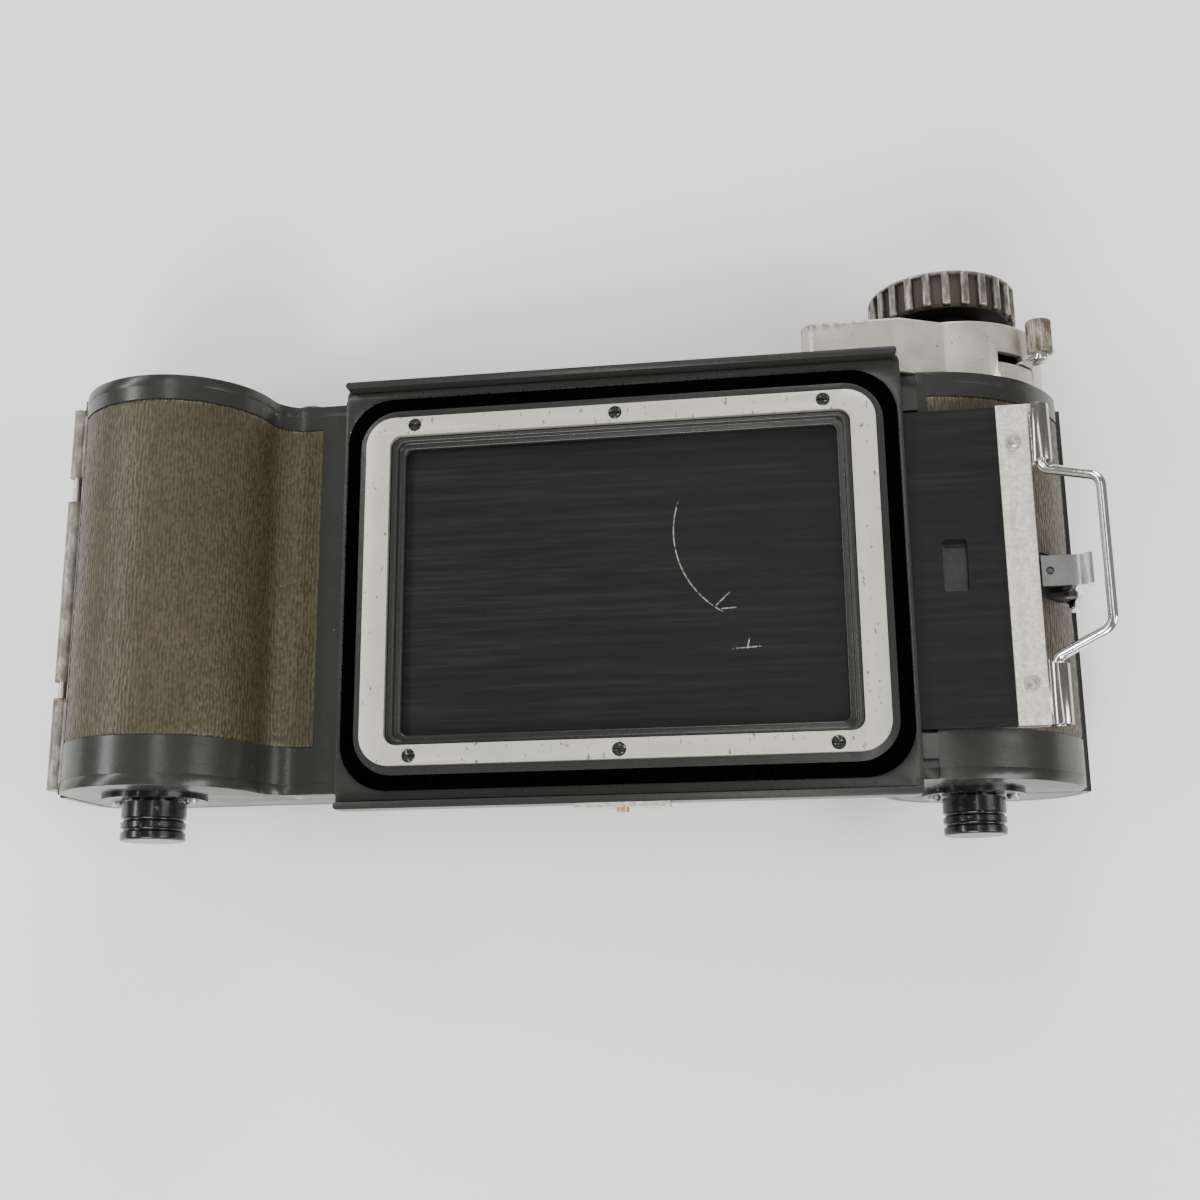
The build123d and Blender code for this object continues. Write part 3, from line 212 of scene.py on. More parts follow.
class Finish(Graph):
    """A material round one Principled shader, with the patterns that the finishes share."""

    def __init__(self, name, **constants):
        self.material = bpy.data.materials.new(name)
        self.material.use_nodes = True
        super().__init__(self.material.node_tree)
        self.shader = self.tree.nodes["Principled BSDF"]
        for key, value in constants.items():
            self.set(key.replace("_", " "), value)

    def set(self, socket, value):
        self.feed(self.shader.inputs[socket], value)

    def place(self, stretch=(1, 1, 1), turn=(0, 0, 0), centre=(0, 0, 0)):
        point = self.node("ShaderNodeTexCoord", {}, {}, out="Object")
        return self.node("ShaderNodeMapping", {}, {"Vector": point, "Scale": stretch, "Rotation": turn,
                                                   "Location": centre})

    def noise(self, cell, stretch=(1, 1, 1), detail=4, rough=0.55):
        """Grey noise whose features are about one cell wide."""
        return self.node("ShaderNodeTexNoise", {}, {"Vector": self.place(stretch), "Scale": 1 / cell,
                                                    "Detail": detail, "Roughness": rough})

    def band(self, value, low, high):
        """0 below low and 1 above high, with a smooth step between."""
        return self.node("ShaderNodeMapRange", {"interpolation_type": "SMOOTHSTEP"},
                         {"Value": value, "From Min": low, "From Max": high})

    def outside(self, value, low, high):
        """1 below low and 0 above high."""
        return 1 - self.band(value, low, high)

    def blend(self, mask, first, second):
        return self.node("ShaderNodeMix", {"data_type": "RGBA"}, {0: mask, 6: first, 7: second}, out=2)

    def coordinate(self, axis):
        point = self.node("ShaderNodeTexCoord", {}, {}, out="Object")
        return self.node("ShaderNodeSeparateXYZ", {}, (point,), out=axis)

    def bump(self, height, depth, strength=1.0):
        normal = self.node("ShaderNodeBump", {}, {"Strength": strength, "Distance": depth, "Height": height})
        self.set("Normal", normal)


FINISHES = {}


def finish(name):
    """Registers a function that makes one finish. Each is made once, when it is first used."""
    def keep(make):
        FINISHES[name] = make
        return make
    return keep


def finish_called(name):
    known = bpy.data.materials.get("holder_" + name)
    return known or FINISHES[name]("holder_" + name).material


@finish("casting")
def casting_finish(name):
    look = Finish(name, Specular_IOR_Level=0.42)
    cloud = look.noise(0.03, detail=5)
    speck = look.band(look.noise(0.0009, detail=2), 0.76, 0.80)
    base = look.blend(cloud * 0.35, tint("casting"), tint("streak"))
    look.set("Base Color", look.blend(speck * 0.3, base, tint("strip")))
    look.set("Roughness", 0.20 + 0.14 * look.noise(0.006) + 0.15 * speck)
    look.bump(look.noise(0.0009, detail=3), 0.00003, 0.5)
    return look


@finish("ring")
def ring_finish(name):
    look = Finish(name, Metallic=0.75)
    dash = look.band(look.noise(0.0011, (1.0, 0.45, 1.0), detail=3), 0.62, 0.70)
    cloud = look.noise(0.012, detail=6, rough=0.65)
    bright = look.blend(cloud * 0.35, tint("ring"), tint("strip"))
    look.set("Base Color", look.blend(dash * 0.7, bright, tint("grime")))
    look.set("Roughness", 0.34 + 0.2 * cloud + 0.25 * dash)
    look.bump(look.noise(0.0006, detail=4) - dash, 0.00005, 0.55)
    return look


@finish("black_screw")
def black_screw_finish(name):
    look = Finish(name, Metallic=0.3)
    rubbed = look.band(look.noise(0.0006, detail=3), 0.56, 0.70)
    look.set("Base Color", look.blend(rubbed * 0.5, tint("gloss_black"), tint("steel")))
    look.set("Roughness", 0.36 + 0.3 * look.noise(0.0008))
    look.bump(look.noise(0.0004), 0.00002, 0.4)
    return look


# Leatherette colour, with painted shade in the low points of the grain.
def leather_base(look, height):
    cloud = look.noise(0.009, detail=5, rough=0.6)
    tone = look.blend(cloud * 0.7, tint("leather"), tint("crease"))
    # Painted shade: the low points of the grain are darkened towards the crease colour.
    look.set("Base Color", look.blend(look.outside(height, 0.05, 0.60) * 0.8, tone, tint("crease")))
    look.set("Roughness", 0.46 - 0.16 * height)


@finish("leatherette")
def leatherette_finish(name):
    """For the modelled skins, whose own grain attribute says how deep each point lies."""
    look = Finish(name, Specular_IOR_Level=0.35)
    height = look.node("ShaderNodeAttribute", {"attribute_name": "grain"}, {}, out="Fac")
    leather_base(look, height)
    look.bump(look.noise(0.00042, (1, 0.7, 1), detail=3), 0.00006, 0.6)
    return look


@finish("flat_leatherette")
def flat_leatherette_finish(name):
    look = Finish(name, Specular_IOR_Level=0.35)
    height = look.band(look.noise(0.0006, (1, 0.4, 1), detail=3, rough=0.62), 0.36, 0.62)
    leather_base(look, height)
    # The low points of this noise get painted shade in leather_base.
    look.bump(height, 0.00013, 0.9)
    return look


@finish("velvet")
def velvet_finish(name):
    look = Finish(name, Roughness=1.0, Specular_IOR_Level=0.02)
    lint = look.band(look.noise(0.0012, detail=3), 0.68, 0.76)
    look.set("Base Color", look.blend(lint * 0.25, tint("velvet"), tint("streak")))
    look.bump(look.noise(0.0004, detail=4), 0.0002, 0.9)
    return look


def arc_scratch(look, centre, radius, low_y, high_y):
    """A thin broken arc that lies in the slide's plane."""
    across = look.coordinate("X") - centre[0]
    along = look.coordinate("Y") - centre[1]
    reach = (across * across + along * along) ** 0.5
    line = look.outside(abs(reach - radius), 0.00005, 0.00017)
    side = look.outside(look.coordinate("X"), centre[0], centre[0] + 0.0001)
    y = look.coordinate("Y")
    return line * side * look.band(y, low_y, low_y + 0.001) * look.outside(y, high_y - 0.002, high_y)


def tick_scratch(look, start, angle, reach):
    """A short straight scratch from start."""
    x = look.coordinate("X") - start[0]
    y = look.coordinate("Y") - start[1]
    along = x * math.cos(angle) + y * math.sin(angle)
    across = y * math.cos(angle) - x * math.sin(angle)
    line = look.outside(abs(across), 0.00005, 0.00018)
    return line * look.band(along, 0, 0.0004) * look.outside(along, reach - 0.0008, reach)


SLIDE_ARC = ((0.0305, 0.0095), 0.0195, -0.0075, 0.0165)
SLIDE_TICKS = (((0.0190, -0.0060), 0.75, 0.0042), ((0.0200, -0.0066), 0.05, 0.0034),
               ((0.0220, -0.0148), 0.06, 0.0060), ((0.0250, -0.0150), 1.35, 0.0026),
               ((0.0232, -0.0152), 2.2, 0.0018))


@finish("slide")
def slide_finish(name):
    look = Finish(name, Specular_IOR_Level=0.22)
    streak = look.band(look.noise(0.0011, (0.035, 1, 1), detail=6, rough=0.7), 0.42, 0.72)
    broad = look.noise(0.014, (0.10, 1, 1), detail=4)
    base = look.blend(streak * broad, tint("slide"), tint("streak"))
    marks = arc_scratch(look, *SLIDE_ARC)
    for tick in SLIDE_TICKS:
        marks = marks + tick_scratch(look, *tick)
    broken = look.band(look.noise(0.0009, detail=3), 0.36, 0.55)
    look.set("Base Color", look.blend(marks * broken * 0.8, base, tint("scratch")))
    look.set("Roughness", 0.44 + 0.22 * streak)
    look.bump(look.noise(0.0007, (0.04, 1, 1), detail=4), 0.00003, 0.6)
    return look


@finish("strip")
def strip_finish(name):
    look = Finish(name, Metallic=0.8)
    sugar = look.noise(0.0010, detail=5, rough=0.75)
    stain = look.band(look.noise(0.007, detail=5), 0.56, 0.74)
    base = look.blend(look.band(sugar, 0.35, 0.68), tint("steel"), tint("strip"))
    look.set("Base Color", look.blend(stain * 0.35, base, tint("knob")))
    look.set("Roughness", 0.26 + 0.3 * sugar)
    look.bump(sugar, 0.00006, 0.6)
    return look


@finish("handle")
def handle_finish(name):
    """Mottled plating on the strip and smooth grey plating on the tubes beside it."""
    look = Finish(name)
    tube_wide = 4.5 * MILLIMETRE
    seam = 0.3 * MILLIMETRE
    tube_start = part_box("slide_handle")[1].x - tube_wide
    tube = look.band(look.coordinate("X"), tube_start, tube_start + seam)
    sugar = look.noise(0.0009, detail=5, rough=0.78)
    stain = look.band(look.noise(0.006, detail=5), 0.54, 0.72)
    mottled = look.blend(look.band(sugar, 0.40, 0.62), tint("ring"), tint("strip"))
    plated = look.blend(stain * 0.3, mottled, tint("knob"))
    look.set("Base Color", look.blend(tube, plated, tint("steel")))
    look.set("Metallic", 0.55 + 0.45 * tube)
    look.set("Roughness", (0.34 + 0.2 * sugar) * (1 - 0.62 * tube))
    look.bump(sugar * (1 - tube), 0.00005, 0.5)
    return look


HINGE_MIDDLE = 0.0014
HINGE_NOTCH = 0.0212
NOTCH_RUST = (0.0012, 0.0046)


@finish("hinge_strip")
def hinge_strip_finish(name):
    look = Finish(name, Metallic=0.6)
    wear = look.noise(0.0022, (1, 0.5, 1), detail=6, rough=0.7)
    y = look.coordinate("Y")
    notch = look.outside(abs(abs(y - HINGE_MIDDLE) - HINGE_NOTCH), *NOTCH_RUST)
    rusted = look.band(look.noise(0.0013, detail=5), 0.40, 0.58) * notch
    base = look.blend(look.band(wear, 0.30, 0.62), tint("housing"), tint("knob"))
    look.set("Base Color", look.blend(rusted, base, tint("rust")))
    look.set("Roughness", 0.36 + 0.25 * wear + 0.25 * rusted)
    look.bump(wear, 0.00008, 0.6)
    return look


@finish("chrome")
def chrome_finish(name):
    look = Finish(name, Metallic=1.0)
    haze = look.noise(0.004, detail=5)
    pit = look.band(look.noise(0.0007, detail=2), 0.70, 0.75)
    look.set("Base Color", look.blend(pit * 0.6, tint("chrome"), tint("grime")))
    look.set("Roughness", 0.06 + 0.12 * haze + 0.3 * pit)
    look.bump(haze - pit, 0.00002, 0.3)
    return look


STAIN_X = (0.040, 0.062)
STAIN_Y = (0.0505, 0.0528)


@finish("housing")
def housing_finish(name):
    look = Finish(name, Metallic=0.75)
    cloud = look.noise(0.006, detail=6, rough=0.65)
    pit = look.band(look.noise(0.0008, detail=3), 0.66, 0.72)
    x = look.coordinate("X")
    y = look.coordinate("Y")
    stained = look.outside(x, *STAIN_X) * look.band(y, *STAIN_Y)
    rusted = stained * look.band(look.noise(0.0012, (1, 0.5, 1), detail=5), 0.42, 0.60)
    base = look.blend(cloud * 0.6, tint("housing"), tint("strip"))
    marked = look.blend(pit * 0.8, base, tint("grime"))
    look.set("Base Color", look.blend(rusted * 0.85, marked, tint("rust")))
    look.set("Roughness", 0.34 + 0.2 * cloud + 0.25 * pit)
    look.bump(cloud - pit, 0.00005, 0.5)
    return look


WEAR_DEPTH = (0.0006, 0.0001)
# Where the black of the neck and the painted shade under the knob begin, measured down from the knob's top.
SKIRT_DEPTH = (0.0079, 0.0074)


@finish("knob")
def knob_finish(name):
    """Bright ribs over dark grooves, by the distance from the spindle."""
    look = Finish(name, Metallic=0.8)
    axis = spindle()
    radius = knob_radius()
    across = look.coordinate("X") - axis.x
    rise = look.coordinate("Z") - axis.z
    reach = (across * across + rise * rise) ** 0.5
    grime = look.noise(0.0012, (1, 0.4, 1), detail=5, rough=0.7)
    raised = look.band(reach + 0.0005 * grime, *(radius - deep for deep in WEAR_DEPTH))
    face = look.band(look.coordinate("Y"), *(axis.y - deep for deep in WEAR_DEPTH))
    bright = look.blend(look.band(grime, 0.38, 0.72) * 0.8, tint("knob"), tint("steel"))
    open_metal = look.node("ShaderNodeMath", {"operation": "MAXIMUM"}, (raised, face))
    # Below the skirt the knob is painted black: the dark neck under the knob, deepened with painted shade.
    under = look.band(look.coordinate("Y"), *(axis.y - deep for deep in SKIRT_DEPTH))
    groove = look.blend(under, tint("gloss_black"), tint("groove"))
    look.set("Base Color", look.blend(open_metal, groove, bright))
    look.set("Roughness", 0.62 - 0.26 * open_metal)
    look.bump(grime, 0.00005, 0.6)
    return look


@finish("post")
def post_finish(name):
    look = Finish(name, Metallic=0.35)
    worn = look.noise(0.0014, (1, 0.4, 1), detail=5, rough=0.7)
    look.set("Base Color", look.blend(look.band(worn, 0.35, 0.75), tint("leather"), tint("housing")))
    look.set("Roughness", 0.34 + 0.2 * worn)
    look.bump(worn, 0.00004, 0.5)
    return look


@finish("gloss_black")
def gloss_black_finish(name):
    look = Finish(name, Coat_Roughness=0.08, Specular_IOR_Level=0.35)
    rub = look.band(look.noise(0.0015, detail=4), 0.62, 0.74)
    look.set("Base Color", look.blend(rub * 0.25, tint("gloss_black"), tint("steel")))
    look.set("Roughness", 0.16 + 0.22 * look.noise(0.003))
    look.set("Coat Weight", 0.2 - 0.15 * rub)
    look.bump(look.noise(0.0008), 0.00001, 0.3)
    return look


@finish("steel")
def steel_finish(name):
    look = Finish(name, Metallic=1.0)
    turned = look.noise(0.0005, (1, 0.08, 1), detail=4)
    look.set("Base Color", look.blend(turned * 0.4, tint("steel"), tint("chrome")))
    look.set("Roughness", 0.26 + 0.2 * turned)
    look.bump(turned, 0.00002, 0.4)
    return look


@finish("brass")
def brass_finish(name):
    look = Finish(name, Metallic=1.0)
    dull = look.noise(0.002, detail=5)
    look.set("Base Color", look.blend(look.band(dull, 0.4, 0.75) * 0.6, tint("brass"), tint("grime")))
    look.set("Roughness", 0.24 + 0.3 * dull)
    look.bump(dull, 0.00003, 0.4)
    return look


@finish("dial")
def dial_finish(name):
    look = Finish(name)
    age = look.noise(0.003, detail=5)
    look.set("Base Color", look.blend(age * 0.3, tint("dial"), tint("leather")))
    look.set("Roughness", 0.5 + 0.2 * age)
    look.bump(look.noise(0.0005), 0.00001, 0.3)
    return look


@finish("window")
def window_finish(name):
    look = Finish(name, Transmission_Weight=1.0, IOR=1.49)
    smear = look.noise(0.0016, detail=4)
    look.set("Base Color", (0.95, 0.96, 0.94, 1))
    look.set("Roughness", 0.03 + 0.10 * smear)
    look.bump(smear, 0.00001, 0.2)
    return look


@finish("spool")
def spool_finish(name):
    look = Finish(name)
    flow = look.noise(0.004, (1, 0.3, 1), detail=4)
    look.set("Base Color", look.blend(flow * 0.2, tint("gloss_black"), tint("streak")))
    look.set("Roughness", 0.28 + 0.2 * flow)
    look.bump(look.noise(0.0007), 0.00002, 0.4)
    return look


@finish("floor")
def floor_finish(name):
    look = Finish(name, Specular_IOR_Level=0.2)
    cloud = look.noise(0.4, detail=3)
    look.set("Base Color", look.blend(cloud * 0.05, tint("floor"), tint("strip")))
    look.set("Roughness", 0.8 + 0.1 * cloud)
    return look


# ---- Mesh helpers ----

def spindle():
    """The take-up spindle's place in X and Z, with the knob's outer face as Y."""
    low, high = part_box("drive_shaft")
    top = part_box("winding_knob")[1].y
    return Vector(((low.x + high.x) / 2, top, (low.z + high.z) / 2))


def knob_radius():
    low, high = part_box("winding_knob")
    return (high.x - low.x) / 2


def paint(node, look):
    """Gives a carried-over node its finish."""
    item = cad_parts[node]
    item.data.materials.clear()
    item.data.materials.append(finish_called(look))


def mesh_of(shape, name):
    """A mesh made from a working shape, which is freed."""
    mesh = bpy.data.meshes.new(name)
    shape.to_mesh(mesh)
    shape.free()
    return mesh


def linked(name, data):
    """A new item in the scene that holds the data."""
    item = bpy.data.objects.new(name, data)
    bpy.context.scene.collection.objects.link(item)
    return item


def piece_from(mesh, name, look):
    mesh.materials.clear()
    mesh.materials.append(finish_called(look))
    for face in mesh.polygons:
        face.use_smooth = True
    mesh.set_sharp_from_angle(angle=SHARP_ANGLE)
    return linked(name, mesh)


def settled(item):
    """The item's mesh with its modifiers worked in."""
    graph = bpy.context.evaluated_depsgraph_get()
    return bpy.data.meshes.new_from_object(item.evaluated_get(graph))


def welded(node):
    """A copy of a node's mesh with its triangles joined up."""
    shape = bmesh.new()
    shape.from_mesh(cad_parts[node].data)
    bmesh.ops.remove_doubles(shape, verts=shape.verts, dist=WELD)
    return shape


def soften(node, width, look, body=BODY):
    """A copy of a node with rounded edges, which stands for it."""
    shape = welded(node)
    bmesh.ops.dissolve_limit(shape, angle_limit=FLAT_ANGLE, verts=shape.verts, edges=shape.edges)
    for face in shape.faces:
        face.smooth = True
    item = linked(node + "_work", mesh_of(shape, node + "_rounded"))
    edge = item.modifiers.new("Round", "BEVEL")
    edge.limit_method = "ANGLE"
    edge.angle_limit = ROUND_ANGLE
    edge.width = width
    edge.segments = 3
    edge.use_clamp_overlap = True
    edge.harden_normals = True
    finished = settled(item)
    bpy.data.objects.remove(item)
    finished.materials.clear()
    finished.materials.append(finish_called(look))
    made = linked(node + "_rounded", finished)
    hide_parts(node)
    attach(made, body)
    return made


def smoothed(node, look, body=BODY):
    """A copy of a node, shaded smooth across its shallow creases, which stands for it."""
    item = piece_from(mesh_of(welded(node), node + "_work"), node + "_work", look)
    weigh = item.modifiers.new("Weigh", "WEIGHTED_NORMAL")
    weigh.keep_sharp = True
    finished = settled(item)
    bpy.data.objects.remove(item)
    made = linked(node + "_smooth", finished)
    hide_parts(node)
    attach(made, body)


# ---- Leatherette ----

PROBE_INSET = 0.004
PROBE_REACH = 0.12
PROBE_COUNT = 900


def grain_height(s, y, wide, long):
    """How high the grain stands at a place on the skin, from 0 in a furrow to 1 on a nub.

    Nubs stand in rows along the drum. Each row starts at a place of its own.
    """
    wander = 0.5 * noise.noise(Vector((s / (4 * wide), y / (2 * long), 4.1)))
    row = s / wide + wander
    across = 0.5 + 0.5 * math.cos(2 * math.pi * row)
    start = noise.cell(Vector((math.floor(row + 0.5), 0.5, 3.5)))
    along = 0.5 + 0.5 * math.cos(2 * math.pi * (y / long + 3 * start + 2 * wander))
    rough = noise.noise(Vector((1.3 * s / wide, 1.6 * y / long, 1.7)))
    return max(0.0, min(1.0, 0.15 + 0.28 * across + 0.45 * across * along + 0.70 * rough))


def skin_profile(tree, middle, angles, reach):
    """Points on a skin's outer surface, seen from a point behind it."""
    found = []
    for angle in angles:
        way = Vector((math.cos(angle), 0, math.sin(angle)))
        start = middle + way * reach
        hit, facing, _, _ = tree.ray_cast(start, -way, reach)
        if hit is not None:
            found.append((Vector((hit.x, 0, hit.z)), facing))
    return found


def even_profile(points, step):
    """The same line with points one step apart, and how far along each lies."""
    path = [points[0][0]]
    facings = [points[0][1]]
    left = step
    for (start, facing), (end, _) in zip(points, points[1:]):
        gap = (end - start).length
        while left <= gap:
            path.append(start.lerp(end, left / gap))
            facings.append(facing)
            left += step
        left -= gap
    return path, facings


def skin_layout(node, middle, first, last):
    """Where the points of a grained skin lie, from the outer surface of a plain one."""
    shape = welded(node)
    tree = BVHTree.FromBMesh(shape)
    shape.free()
    low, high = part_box(node)
    size = sizes()
    probe = middle.copy()
    probe.y = low.y + PROBE_INSET
    angles = [first + (last - first) * index / PROBE_COUNT for index in range(PROBE_COUNT + 1)]
    path, facings = even_profile(skin_profile(tree, probe, angles, PROBE_REACH), size.grain_across)
    rows = max(2, round((high.y - low.y) / size.grain_along))
    return path, facings, low.y, high.y, rows


def build_skin(path, facings, low_y, high_y, rows, name, holes=()):
    """A closed sheet whose top is creased and whose edge is rolled down."""
    size = sizes()
    columns = len(path)
    edge = 0.8 * MILLIMETRE
    thick = 0.42 * MILLIMETRE
    roll = 0.25 * MILLIMETRE
    tops, bases, heights = [], [], []
    total = (columns - 1) * size.grain_across
    for i, (spot, facing) in enumerate(zip(path, facings)):
        s = i * size.grain_across
        for j in range(rows + 1):
            y = low_y + (high_y - low_y) * j / rows
            height = grain_height(s, y, size.nub_wide, size.nub_long)
            rim = min(s, total - s, y - low_y, high_y - y)
            rolled = max(0.0, 1 - rim / edge) ** 2 * roll
            drop = size.grain_depth * (1 - height) + rolled
            tops.append(Vector((spot.x, y, spot.z)) - facing * drop)
            bases.append(Vector((spot.x, y, spot.z)) - facing * thick)
            heights.append(height)
    span = rows + 1
    under = len(tops)
    faces = []

    def kept(i, j):
        if not (0 <= i < columns - 1 and 0 <= j < rows):
            return False
        centre = (tops[i * span + j] + tops[(i + 1) * span + j + 1]) / 2
        return not any(low.x < centre.x < high.x and low.y < centre.y < high.y for low, high in holes)

    for i in range(columns - 1):
        for j in range(rows):
            if not kept(i, j):
                continue
            a, b = i * span + j, (i + 1) * span + j
            faces.append((a, b, b + 1, a + 1))
            faces.append((under + a, under + a + 1, under + b + 1, under + b))
            for inside, start, end in ((kept(i - 1, j), a + 1, a), (kept(i + 1, j), b, b + 1),
                                       (kept(i, j - 1), a, b), (kept(i, j + 1), b + 1, a + 1)):
                if not inside:
                    faces.append((start, under + start, under + end, end))
    mesh = bpy.data.meshes.new(name)
    mesh.from_pydata([tuple(p) for p in tops + bases], [], faces)
    layer = mesh.attributes.new("grain", "FLOAT", "POINT")
    layer.data.foreach_set("value", heights + [0.0] * len(bases))
    shape = bmesh.new()
    shape.from_mesh(mesh)
    loose = [v for v in shape.verts if not v.link_faces]
    bmesh.ops.delete(shape, geom=loose, context="VERTS")
    bmesh.ops.recalc_face_normals(shape, faces=shape.faces)
    shape.to_mesh(mesh)
    shape.free()
    mesh.update()
    return piece_from(mesh, name, "leatherette")


# ---- Geometry Nodes ----

def new_tree(name, inputs):
    """An empty geometry tree with named inputs, its graph and a wire from each input."""
    tree = bpy.data.node_groups.new(name, "GeometryNodeTree")
    tree.interface.new_socket("Geometry", in_out="OUTPUT", socket_type="NodeSocketGeometry")
    tree.interface.new_socket("Geometry", in_out="INPUT", socket_type="NodeSocketGeometry")
    for label, kind in inputs:
        tree.interface.new_socket(label, in_out="INPUT", socket_type="NodeSocket" + kind)
    entry = tree.nodes.new("NodeGroupInput")
    graph = Graph(tree)
    pin = {socket.name: Wire(graph, socket) for socket in entry.outputs if socket.name}
    return tree, graph, pin


def run_tree(tree, item, values):
    """Runs a tree on an item and returns the plain mesh that it makes."""
    worked = item.modifiers.new("Build", "NODES")
    worked.node_group = tree
    for socket in tree.interface.items_tree:
        if socket.in_out == "INPUT" and socket.name in values:
            worked[socket.identifier] = values[socket.name]
    mesh = settled(item)
    item.modifiers.remove(worked)
    bpy.data.objects.remove(item)
    return mesh


def close_tree(graph, made, material):
    real = graph.node("GeometryNodeRealizeInstances", {}, {"Geometry": made})
    done = graph.node("GeometryNodeSetMaterial", {}, {"Geometry": real, "Material": material})
    end = graph.tree.nodes.new("NodeGroupOutput")
    graph.feed(end.inputs["Geometry"], done)


def pile_tree():
    """Short tapered fibres that stand on a surface, each leaning its own way."""
    tree, graph, pin = new_tree("velvet_pile", (
        ("Density", "Float"), ("Length", "Float"), ("Width", "Float"), ("Seed", "Int"),
        ("Material", "Material")))
    points = graph.node("GeometryNodeDistributePointsOnFaces", {},
                        {"Mesh": pin["Geometry"], "Density": pin["Density"], "Seed": pin["Seed"]},
                        out="Points")
    fibre = graph.node("GeometryNodeMeshCone", {"fill_type": "NONE"},
                       {"Vertices": 3, "Radius Top": 0.0, "Radius Bottom": pin["Width"],
                        "Depth": pin["Length"]})
    swing = (0.6, 0.6, 3.1)
    lean = graph.node("FunctionNodeRandomValue", {"data_type": "FLOAT_VECTOR"},
                      {0: tuple(-most for most in swing), 1: swing, "Seed": pin["Seed"]})
    size = graph.node("FunctionNodeRandomValue", {"data_type": "FLOAT"},
                      {2: 0.6, 3: 1.0, "Seed": pin["Seed"]}, out=1)
    stand = graph.node("GeometryNodeInstanceOnPoints", {},
                       {"Points": points, "Instance": fibre, "Rotation": lean, "Scale": size})
    close_tree(graph, stand, pin["Material"])
    return tree


def rib_tree():
    """Bars that stand side by side round an axis along Z."""
    tree, graph, pin = new_tree("knob_ribs", (
        ("Count", "Int"), ("Radius", "Float"), ("Material", "Material")))
    ring = graph.node("GeometryNodeMeshCircle", {}, {"Vertices": pin["Count"], "Radius": pin["Radius"]})
    index = graph.node("GeometryNodeInputIndex", {}, {})
    portion = graph.node("ShaderNodeMath", {"operation": "DIVIDE"}, (index, pin["Count"]))
    turn = graph.node("ShaderNodeCombineXYZ", {}, {"Z": portion * (2 * math.pi)})
    stand = graph.node("GeometryNodeInstanceOnPoints", {},
                       {"Points": ring, "Instance": pin["Geometry"], "Rotation": turn})
    close_tree(graph, stand, pin["Material"])
    return tree


# ---- Pieces ----

def lathe(profile, steps):
    """A closed turned shape round Z from (radius, height) points that start and end on the axis."""
    shape = bmesh.new()
    rings = []
    for radius, height in profile:
        if radius == 0:
            rings.append([shape.verts.new((0, 0, height))])
            continue
        turn = [2 * math.pi * step / steps for step in range(steps)]
        rings.append([shape.verts.new((radius * math.cos(a), radius * math.sin(a), height)) for a in turn])
    for lower, upper in zip(rings, rings[1:]):
        for step in range(steps):
            after = (step + 1) % steps
            face = [lower[step % len(lower)], lower[after % len(lower)],
                    upper[after % len(upper)], upper[step % len(upper)]]
            shape.faces.new(list(dict.fromkeys(face)))
    bmesh.ops.recalc_face_normals(shape, faces=shape.faces)
    return shape


def rib_bar(width, depth, height, round_by):
    """One rounded bar, with its outer face along +X."""
    shape = bmesh.new()
    bmesh.ops.create_cube(shape, size=1, matrix=Matrix.Diagonal((depth, width, height, 1)))
    bmesh.ops.bevel(shape, geom=shape.edges[:], offset=round_by, segments=3, profile=0.5, affect="EDGES")
    return shape


def mesh_item(shape, name):
    return linked(name, mesh_of(shape, name))


class HOLDER_OT_castings(bpy.types.Operator):
    """Round and enamel the flange, bezel, end walls, drums and cover"""

    bl_idname = "holder.castings"
    bl_label = "Castings"
    bl_options = {"REGISTER", "UNDO"}

    def execute(self, context):
        wide = sizes().casting_round
        for node, share in (("front_flange", 0.55), ("window_bezel", 0.4), ("foot_end_wall", 1.0),
                            ("knob_end_wall", 1.0)):
            soften(node, wide * share, "casting")
        for node in ("gate_plate", "supply_shell", "takeup_shell"):
            paint(node, "casting")
        for node in ("cover_shell", "cover_end_walls"):
            soften(node, wide * 0.5, "casting", "cover")
        return {"FINISHED"}


class HOLDER_OT_ring(bpy.types.Operator):
    """Finish the camera ring, its screws, the catch and the film rails"""

    bl_idname = "holder.ring"
    bl_label = "Camera ring"
    bl_options = {"REGISTER", "UNDO"}

    def execute(self, context):
        soften("gate_ring", sizes().fine_round, "ring")
        paint("ring_screws", "black_screw")
        paint("catch_plate", "strip")
        paint("catch_stud", "brass")
        paint("film_rails", "steel")
        return {"FINISHED"}


class HOLDER_OT_velvet(bpy.types.Operator):
    """Stand a pile of short fibres on the light-trap velvet"""

    bl_idname = "holder.velvet"
    bl_label = "Velvet"
    bl_options = {"REGISTER", "UNDO"}

    def execute(self, context):
        paint("groove_velvet", "velvet")
        paint("slide_felt", "velvet")
        shape = welded("groove_velvet")
        buried = [face for face in shape.faces if face.normal.z < 0.9]
        bmesh.ops.delete(shape, geom=buried, context="FACES")
        ground = mesh_item(shape, "pile_ground")
        size = sizes()
        mesh = run_tree(pile_tree(), ground, {
            "Density": size.pile_density, "Length": size.pile_length, "Width": size.pile_width,
            "Seed": 7, "Material": finish_called("velvet")})
        pile = piece_from(mesh, "groove_pile", "velvet")
        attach(pile, BODY)
        return {"FINISHED"}


SKINS = (
    ("supply_leatherette", (-0.080, -0.026), 128, 45),
    ("takeup_leatherette", (0.0605, -0.0379), 89, 10),
)
WELL_REACH = 0.0077
WELL_HALF = 0.0064
LATCH_SLOT = (0.080, 0.092)
LATCH_ROOM = 0.0004


